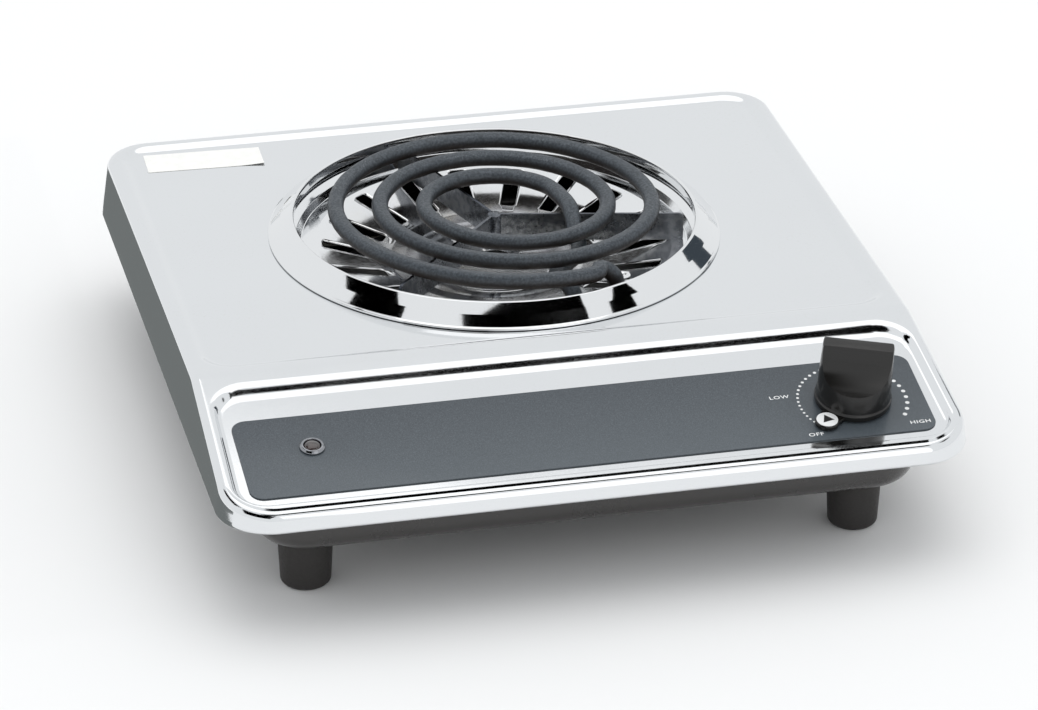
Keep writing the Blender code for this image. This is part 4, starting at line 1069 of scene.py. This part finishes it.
# %% Plate
DIAL = (116.2 * MM, -131.5 * MM)
PILOT = (-116.4 * MM, -126 * MM)
PRINT = 0.03 * MM


def rounded_plan(half_x, half_y, corner, steps=10):
    signs = ((1, -1), (1, 1), (-1, 1), (-1, -1))
    return fillet([(x * half_x, y * half_y, corner) for x, y in signs], steps=steps)


def slab(plan, low, high, edge=0.0, middle=(0, 0)):
    """A flat piece over a plan outline, its top edge eased in by edge."""
    bm = bmesh.new()
    rows = [(low, 0.0), (high - edge, 0.0), (high, edge)] if edge else [(low, 0.0), (high, 0.0)]
    made = []
    for z, inset in rows:
        line = []
        for x, y in plan:
            away = Vector((x - middle[0], y - middle[1]))
            share = 1 - inset / max(away.length, 1e-9)
            line.append(bm.verts.new((middle[0] + away.x * share, middle[1] + away.y * share, z)))
        made.append(line)
    for a, b in zip(made, made[1:]):
        for k in range(len(a)):
            n = (k + 1) % len(a)
            bm.faces.new((a[k], a[n], b[n], b[k]))
    bm.faces.new(made[0][::-1])
    bm.faces.new(made[-1])
    return bm


plate_frame = tray_frame(0, PLATE_Y)
plate_plan = rounded_plan(PLATE_WIDTH / 2, PLATE_LENGTH / 2, 6 * MM)
plate_slab = slab(plate_plan, 0.1 * MM, PLATE_LIFT, 0.15 * MM)
plate = piece(
    "nameplate_panel", plate_slab, nameplate_print_and_reflection, "chassis", ["nameplate"], plate_frame)
print("plate:", plate.name)

# %% Dots round the dial
DOT_RING = 23.4 * MM
OFF_ANGLE, HIGH_ANGLE = radians(221), radians(-37)


def dial_dots():
    """(angle, radius) of each dot, clockwise from off to high."""
    first_gap, last_gap, first_r, last_r = 2.15 * MM, 4.15 * MM, 0.48 * MM, 0.98 * MM
    total = (OFF_ANGLE - HIGH_ANGLE) * DOT_RING
    count = round(2 * total / (first_gap + last_gap))
    made, travelled = [], 0.0
    for k in range(count + 1):
        share = k / count
        made.append((OFF_ANGLE - travelled / DOT_RING, first_r + (last_r - first_r) * share))
        travelled += first_gap + (last_gap - first_gap) * (k + 0.5) / count
    return made


def dots_mesh():
    bm = bmesh.new()
    for angle, radius in dial_dots():
        x, y = DOT_RING * cos(angle), DOT_RING * sin(angle)
        rows = []
        for z in (PLATE_LIFT, PLATE_LIFT + PRINT):
            rows.append([(x + dx, y + dy, z) for dx, dy in circle(radius, 16)])
        made = add_rows(bm, rows)
        bm.faces.new(made[0][::-1])
        bm.faces.new(made[1])
    return bm


dial_frame = tray_frame(*DIAL)
piece("dial_dots", dots_mesh(), white_print, "chassis", place=dial_frame)
print("dial dots:", len(dial_dots()))

# %% The dial's three words
def word(text, spot, size=2.9 * MM):
    curve = bpy.data.curves.new(f"word_{text.lower()}", "FONT")
    curve.body = text
    curve.size = size
    curve.align_x, curve.align_y = "CENTER", "CENTER"
    curve.extrude = PRINT / 2
    curve.offset = 0.00004
    curve.space_character = 1.12
    obj = bpy.data.objects.new(curve.name, curve)
    bpy.context.scene.collection.objects.link(obj)
    bpy.context.view_layer.update()
    mesh = bpy.data.meshes.new_from_object(obj.evaluated_get(bpy.context.evaluated_depsgraph_get()))
    bpy.data.objects.remove(obj)
    bm = bmesh.new()
    bm.from_mesh(mesh)
    bmesh.ops.remove_doubles(bm, verts=bm.verts, dist=1e-7)
    place = dial_frame @ Matrix.Translation((*spot, PLATE_LIFT + PRINT / 2 + 0.005 * MM))
    place = place @ Matrix.Diagonal((1.22, 1, 1, 1))
    return piece(f"word_{text.lower()}", bm, white_print, "chassis", place=place)


WORD_SPOTS = {"OFF": (-21.6, -20.2), "LOW": (-30.6, 6.6), "HIGH": (24.6, -18.9)}
words = [word(text, (x * MM, y * MM)) for text, (x, y) in WORD_SPOTS.items()]
print("words:", [o.name for o in words])

# %% Pilot lamp: a small bezel round a domed lens
def make_pilot():
    place = tray_frame(*PILOT)
    seat = PLATE_LIFT + GAP - 0.2 * MM
    bezel = [(3.7, 0, 0.1), (5.4, 0, 0.15), (5.4, 0.7, 0.5)]
    bezel += [(4.6, 1.55, 0.7), (3.9, 1.6, 0.3), (3.7, 1.1, 0.2)]
    bezel_profile = fillet([(r * MM, seat + z * MM, q * MM) for r, z, q in bezel], steps=5)
    rim = piece(
        "pilot_rim", turn(bezel_profile, 64), bezel_chrome, "chassis", ["pilot_bezel"], place)
    lens_r, base, crown = 3.6, 0.5, 1.5
    curve = [pi / 2 * k / 8 for k in range(1, 8)]
    dome = [(0, 0.1), (lens_r, 0.1), (lens_r, base)]
    dome += [(lens_r * cos(a), base + crown * sin(a)) for a in curve] + [(0, base + crown)]
    bubble = turn([(r * MM, seat + z * MM) for r, z in dome], 48, loop=False)
    lens = piece("pilot_dome", bubble, lens_amber, "chassis", ["pilot_lens"], place, sharp=60)
    return rim, lens


pilot_rim, pilot_dome = make_pilot()
print("pilot:", pilot_rim.name, pilot_dome.name)

# %% [markdown]
# ## The knob
# The knob is a drum with a grip bar left standing between two scooped hollows. That is how its mould
# is cut, so the same is done here: a filleted drum, less two wide cylinders, with a small bevel on the
# edges that the cuts leave. A round tab beside it carries the white disc with its black arrow.

# %% Drum, scoops and tab
KNOB_R, KNOB_HEIGHT, KNOB_LIFT = 15.6, 29.0, 1.4
BAR_ANGLE, POINTER_ANGLE, POINTER_REACH = radians(-19), radians(-137), 21.2 * MM


def knob_blank():
    low, top = KNOB_LIFT, KNOB_LIFT + KNOB_HEIGHT
    corners = [
        (0, top, 0), (KNOB_R - 0.5, top, 0.9), (KNOB_R + 0.3, low + 3.2, 2),
        (KNOB_R + 0.9, low + 2.4, 0.6), (KNOB_R + 0.9, low, 0.5), (12.2, low, 0.3), (12.2, low + 6, 0.3),
        (3.15, low + 6, 0.2), (3.15, low + 19, 0.1), (0, low + 19, 0),
    ]
    profile = fillet([(r * MM, z * MM, q * MM) for r, z, q in corners], loop=False, steps=5)
    return turn(profile, 128, loop=False)


def make_knob():
    place = tray_frame(*DIAL)
    knob = piece("knob_grip", knob_blank(), knob_plastic, "control_knob", ["knob"], place)
    scoop_r, half_bar, reach = 18 * MM, 3.0 * MM, 25 * MM
    scoop_z = (KNOB_LIFT + KNOB_HEIGHT + 0.6) * MM
    for side_sign in (-1, 1):
        tool = turn([(0, -reach), (scoop_r, -reach), (scoop_r, reach), (0, reach)], 160, loop=False)
        lie = Matrix.Rotation(BAR_ANGLE, 4, "Z")
        lie = lie @ Matrix.Translation((0, side_sign * (scoop_r + half_bar), scoop_z))
        tool.transform(place @ lie @ Matrix.Rotation(pi / 2, 4, "Y"))
        subtract(knob, tool)
    soften = knob.modifiers.new("soften", "BEVEL")
    soften.width, soften.segments = 0.45 * MM, 3
    soften.limit_method, soften.angle_limit = "ANGLE", radians(28)
    settle(knob)
    knob.data.shade_smooth()
    knob.data.set_sharp_from_angle(angle=radians(40))
    return knob


def make_tab():
    """The round tab under the pointer disc, with the neck that joins it to the drum."""
    place = tray_frame(*DIAL) @ Matrix.Rotation(POINTER_ANGLE, 4, "Z")
    plan = []
    reach, r = POINTER_REACH, 5.1 * MM
    for k in range(25):
        a = -pi * 0.62 + 2 * pi * 0.62 * k / 24
        plan.append((reach + r * cos(a), r * sin(a)))
    plan += [(14.5 * MM, 5.4 * MM), (14.5 * MM, -5.4 * MM)]
    tab = slab(plan, KNOB_LIFT * MM, (KNOB_LIFT + 1.7) * MM, 0.35 * MM, (reach - 3 * MM, 0))
    return piece("knob_tab", tab, knob_plastic, "control_knob", place=place, sharp=30)


knob, tab = make_knob(), make_tab()
print("knob:", len(knob.data.vertices), "vertices")

# %% White disc and its arrow
def make_pointer():
    place = tray_frame(*DIAL) @ Matrix.Rotation(POINTER_ANGLE, 4, "Z")
    place = place @ Matrix.Translation((POINTER_REACH, 0, 0))
    seat = (KNOB_LIFT + 1.7) * MM + 0.1 * MM
    top = seat + 0.4 * MM
    disc_r = 4.6 * MM
    corners = [(0, seat, 0), (disc_r, seat, 0.05 * MM), (disc_r, top, 0.15 * MM), (0, top, 0)]
    disc = turn(fillet(corners, loop=False, steps=3), 48, loop=False)
    face = piece("pointer_disc", disc, white_print, "control_knob", ["knob_pointer"], place)
    arrow_plan = [(2.9 * MM, 0), (-1.7 * MM, 2.6 * MM), (-1.7 * MM, -2.6 * MM)]
    mark = slab(arrow_plan, top, top + PRINT)
    arrow = piece("pointer_arrow", mark, black_print, "control_knob", place=place)
    return face, arrow


pointer_disc, pointer_arrow = make_pointer()
print("pointer:", pointer_disc.name, pointer_arrow.name)

# %% [markdown]
# ## Pan, feet and label
# The base pan is drawn sheet with generous radii, hung from a flange inside the shell's hem. The feet
# are moulded rubber, slightly tapered. The label is a plain strip of paper, stuck on a little askew.

# %% Base pan
PAN_Z, PAN_SHEET = 28 * MM, 1 * MM
PAN_SIDE, PAN_END = 18 * MM, 15 * MM
FLANGE_Z = SHELL_EDGE_Z + SHELL_SHEET + GAP


def plan_ring(half_x, half_y, corner, steps=14):
    """(point, outward way) round a rounded rectangle, at stations on its four corner arcs."""
    made = []
    for cx, cy, start in ((1, -1, -90), (1, 1, 0), (-1, 1, 90), (-1, -1, 180)):
        for k in range(steps + 1):
            a = radians(start + 90 * k / steps)
            way = Vector((cos(a), sin(a)))
            made.append((Vector((cx * (half_x - corner), cy * (half_y - corner))) + way * corner, way))
    return made


def make_pan():
    ring = plan_ring(HALF_W - PAN_SIDE, HALF_D - PAN_END, 22 * MM)
    bend, edge = 1.8 * MM, 9 * MM
    rules = [(-11 * MM, FLANGE_Z), (-bend, FLANGE_Z)]
    for k in range(1, 6):
        a = pi / 2 * k / 5
        rules.append((-bend * (1 - sin(a)), FLANGE_Z - bend * (1 - cos(a))))
    for k in range(11):
        a = pi / 2 * k / 10
        rules.append((1 * MM + edge * (1 - cos(a)), PAN_Z + edge * (1 - sin(a))))
    bm = bmesh.new()
    made = add_rows(bm, [[(*(p - w * inset), z) for p, w in ring] for inset, z in rules])
    bm.faces.new(made[-1])
    pan = piece("pan_enamelled", bm, pan_enamel, "chassis", ["base_pan"], sharp=50)
    sheet = pan.modifiers.new("sheet", "SOLIDIFY")
    sheet.thickness, sheet.offset = PAN_SHEET, -1
    settle(pan)
    slots = bmesh.new()
    for end in (-1, 1):
        for k in range(9):
            one = slab(rounded_plan(2 * MM, 13 * MM, 1.9 * MM, 4), PAN_Z - 4 * MM, PAN_Z + 4 * MM)
            one.transform(Matrix.Translation(((k - 4) * 14 * MM, end * 108 * MM, 0)))
            mesh = bpy.data.meshes.new("slot")
            one.to_mesh(mesh)
            one.free()
            slots.from_mesh(mesh)
            bpy.data.meshes.remove(mesh)
    subtract(pan, slots)
    return pan


pan = make_pan()
print("pan:", len(pan.data.vertices), "vertices")

# %% Feet
def make_foot(label):
    low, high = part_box(f"foot_{label}")
    middle = (low + high) / 2
    top = high.z / MM
    corners = [
        (5.2, 0, 0.4), (10.7, 0, 3.2), (11.9, top - 3.2, 3), (12.1, top, 0.3), (2.2, top, 0),
        (2.2, 21, 0.2), (5.2, 21, 0.3),
    ]
    profile = fillet([(r * MM, z * MM, q * MM) for r, z, q in corners], steps=7)
    place = Matrix.Translation((middle.x, middle.y, 0))
    name, cad = f"foot_rubber_{label}", f"foot_{label}"
    return piece(name, turn(profile, 64), foot_rubber, "chassis", [cad], place)


feet = [make_foot(f"{end}_{hand}") for end in ("front", "rear") for hand in ("left", "right")]
print("feet:", len(feet))

# %% Blank label, stuck on askew with one corner lifting
def border_of(grid):
    """The grid's outer vertices, once round."""
    columns_across, rows_down = len(grid[0]) - 1, len(grid) - 1
    line = list(grid[0]) + [grid[j][-1] for j in range(1, rows_down + 1)]
    line += [grid[-1][i] for i in range(columns_across - 1, -1, -1)]
    return line + [grid[j][0] for j in range(rows_down - 1, 0, -1)]


def make_label():
    low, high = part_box("blank_label")
    middle = (low + high) / 2
    columns_across, rows_down = 28, 12
    size = Vector((54 * MM, 19 * MM))
    bm = bmesh.new()
    layers = []
    for lift in (0.0, 0.12 * MM):
        grid = []
        for j in range(rows_down + 1):
            line = []
            for i in range(columns_across + 1):
                u, v = i / columns_across, j / rows_down
                curl = max(0.0, u + (1 - v) - 1.72) ** 2 * 9 * MM
                line.append(bm.verts.new(((u - 0.5) * size.x, (v - 0.5) * size.y, lift + curl)))
            grid.append(line)
        layers.append(grid)
    under, over = layers
    for j in range(rows_down):
        for i in range(columns_across):
            bm.faces.new((over[j][i], over[j][i + 1], over[j + 1][i + 1], over[j + 1][i]))
            bm.faces.new((under[j][i], under[j + 1][i], under[j + 1][i + 1], under[j][i + 1]))
    rim_under, rim_over = border_of(under), border_of(over)
    for k in range(len(rim_under)):
        n = (k + 1) % len(rim_under)
        bm.faces.new((rim_under[k], rim_under[n], rim_over[n], rim_over[k]))
    place = Matrix.Translation((middle.x, middle.y, TOP_Z + 0.05 * MM))
    place = place @ Matrix.Rotation(radians(-2), 4, "Z")
    return piece("label_blank", bm, label_paper, "chassis", ["blank_label"], place)


label = make_label()
print("label:", label.name)

# %% Finishes for the CAD pieces that stay
KEPT = [
    (zinc_plate, ("foot_screw_", "foot_nut_", "shell_screw_", "control_nut", "control_shaft")),
    (zinc_plate, ("control_blade_", "terminal_bracket", "pilot_push_nut")),
    (shield_metal, ("heat_shield",)),
    (ceramic_body, ("terminal_block",)),
    (inner_plastic, ("control_body", "pilot_lamp_body", "cord_inlet_bush")),
    (wire_sleeve, ("lead_",)),
]
dressed = 0
for finish, starts in KEPT:
    for name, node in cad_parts.items():
        if name.startswith(starts):
            node.data.materials.clear()
            node.data.materials.append(finish)
            node.data.shade_smooth()
            node.data.set_sharp_from_angle(angle=radians(30))
            dressed += 1
print("CAD pieces dressed:", dressed)

# %% [markdown]
# ## Studio
# Polished metal is lit by what stands round it. A pale floor and a bright, even surround make the
# chrome silver; a large soft panel overhead makes its brightest band; and a few dark flags beside the
# camera give the crisp dark lines that say chrome. The flags are seen only in reflections.

# %% Floor and surround
def make_floor():
    bm = bmesh.new()
    bmesh.ops.create_grid(bm, x_segments=1, y_segments=1, size=6)
    mesh = bpy.data.meshes.new("floor")
    bm.to_mesh(mesh)
    bm.free()
    material, tree, take = new_material("pale_floor", (0.86, 0.86, 0.86), 0.9)
    mesh.materials.append(material)
    obj = bpy.data.objects.new("floor", mesh)
    bpy.context.scene.collection.objects.link(obj)
    return obj


make_floor()
world = bpy.data.worlds.new("studio")
bpy.context.scene.world = world
world.use_nodes = True
world.node_tree.nodes["Background"].inputs["Color"].default_value = (0.975, 0.99, 1.0, 1)
world.node_tree.nodes["Background"].inputs["Strength"].default_value = 0.93
bpy.context.scene.view_settings.view_transform = "Standard"
print("floor and surround ready")

# %% Soft panels, white cards and dark flags
def aim(obj, spot):
    obj.rotation_euler = (Vector(spot) - obj.location).to_track_quat("-Z", "Y").to_euler()


def card_material(name, colour, strength):
    """A card's face: it glows evenly, as a lit white card or a black flag does in a reflection."""
    material, tree, take = new_material(name, (0, 0, 0), 1.0)
    take["Specular IOR Level"].default_value = 0
    take["Emission Color"].default_value = (*colour, 1)
    take["Emission Strength"].default_value = strength
    return material


def card(name, azimuth, elevation, distance, size, material, centre=(0, 0, 0.07)):
    """A flat card facing the centre from a compass direction: 0 is behind it, 90 to its right."""
    a, e = radians(azimuth), radians(elevation)
    way = Vector((sin(a) * cos(e), cos(a) * cos(e), sin(e)))
    bm = bmesh.new()
    bmesh.ops.create_grid(bm, x_segments=1, y_segments=1, size=0.5)
    bmesh.ops.scale(bm, vec=(size[0], size[1], 1), verts=bm.verts)
    mesh = bpy.data.meshes.new(name)
    bm.to_mesh(mesh)
    bm.free()
    mesh.materials.append(material)
    obj = bpy.data.objects.new(name, mesh)
    bpy.context.scene.collection.objects.link(obj)
    facing = way.to_track_quat("Z", "Y").to_matrix().to_4x4()
    obj.matrix_world = Matrix.Translation(Vector(centre) + way * distance) @ facing
    obj.visible_camera = False
    obj.visible_diffuse = False
    obj.visible_shadow = False
    return obj


black_flag = card_material("black_flag", (0.0, 0.0, 0.0), 0.0)
slate_flag = card_material("slate_flag", (0.05, 0.062, 0.075), 1.0)
# This grey paints the object's shadow on the floor, as the chrome's left wall reflects it.
floor_shadow_grey = card_material("floor_shadow_grey", (0.175, 0.188, 0.186), 1.0)
white_card = card_material("white_card", (1.0, 1.0, 1.0), 1.35)
print("card finishes ready")

# %% Place them round the object
CARDS = [
    ("overhead_softbox", 20, 77, 1.2, (1.05, 0.95), white_card),
    ("front_fill", 162, 15, 1.6, (0.75, 2.2), white_card),
    ("flag_left", -77, 52, 1.2, (0.62, 0.30), black_flag),
    ("flag_right", 101, 49.5, 1.2, (0.26, 0.16), black_flag),
    ("flag_right_low", 59, 20, 1.2, (0.26, 0.24), slate_flag),
    ("flag_front_high", 165, 70, 1.3, (1.0, 0.30), black_flag),
    ("flag_by_camera", -142, 44, 1.5, (1.1, 0.9), black_flag),
]
cards = [card(*row) for row in CARDS]
# A grey card lies on the floor beside the left wall and is seen only in reflections. It is a painted shadow
# of the object on the floor, for the chrome's left wall to reflect.
cards.append(card("floor_shadow_card", 0, 90, 0.0, (0.16, 0.5), floor_shadow_grey, centre=(-0.25, 0.10, 0.0005)))
print("cards:", [o.name for o in cards])

# %% One soft lamp overhead for the floor and the dark pieces
def soft_panel(name, place, spot, size, watts):
    light = bpy.data.lights.new(name, "AREA")
    light.shape = "RECTANGLE"
    light.size, light.size_y = size
    light.energy = watts
    obj = bpy.data.objects.new(name, light)
    bpy.context.scene.collection.objects.link(obj)
    obj.location = place
    obj.visible_glossy = False
    aim(obj, spot)
    return obj


soft_panel("overhead_lamp", (0.1, 0.2, 2.2), (0, 0, 0), (2.2, 2.2), 17)

# %% Camera
def make_camera():
    """A long lens from the front left, a little above, as a catalogue shows it."""
    data = bpy.data.cameras.new("catalogue_camera")
    data.sensor_width = 36
    data.lens = 169.0
    obj = bpy.data.objects.new("catalogue_camera", data)
    bpy.context.scene.collection.objects.link(obj)
    yaw, pitch, roll = 0.23743, 0.46901, 0.00883
    forward = Vector((sin(yaw) * cos(pitch), cos(yaw) * cos(pitch), -sin(pitch)))
    right = Vector((cos(yaw), -sin(yaw), 0))
    up = right.cross(forward)
    level_right = right * cos(roll) + up * sin(roll)
    level_up = up * cos(roll) - right * sin(roll)
    spot = BURNER + Vector((12.0 * MM, 0, 9.06 * MM))
    place = spot - forward * 2221.1 * MM
    turned = Matrix((level_right, level_up, -forward)).transposed().to_4x4()
    obj.matrix_world = Matrix.Translation(place) @ turned
    bpy.context.scene.camera = obj
    return obj


camera = make_camera()
print("camera at", [round(v, 3) for v in camera.matrix_world.translation])

bpy.context.view_layer.update()
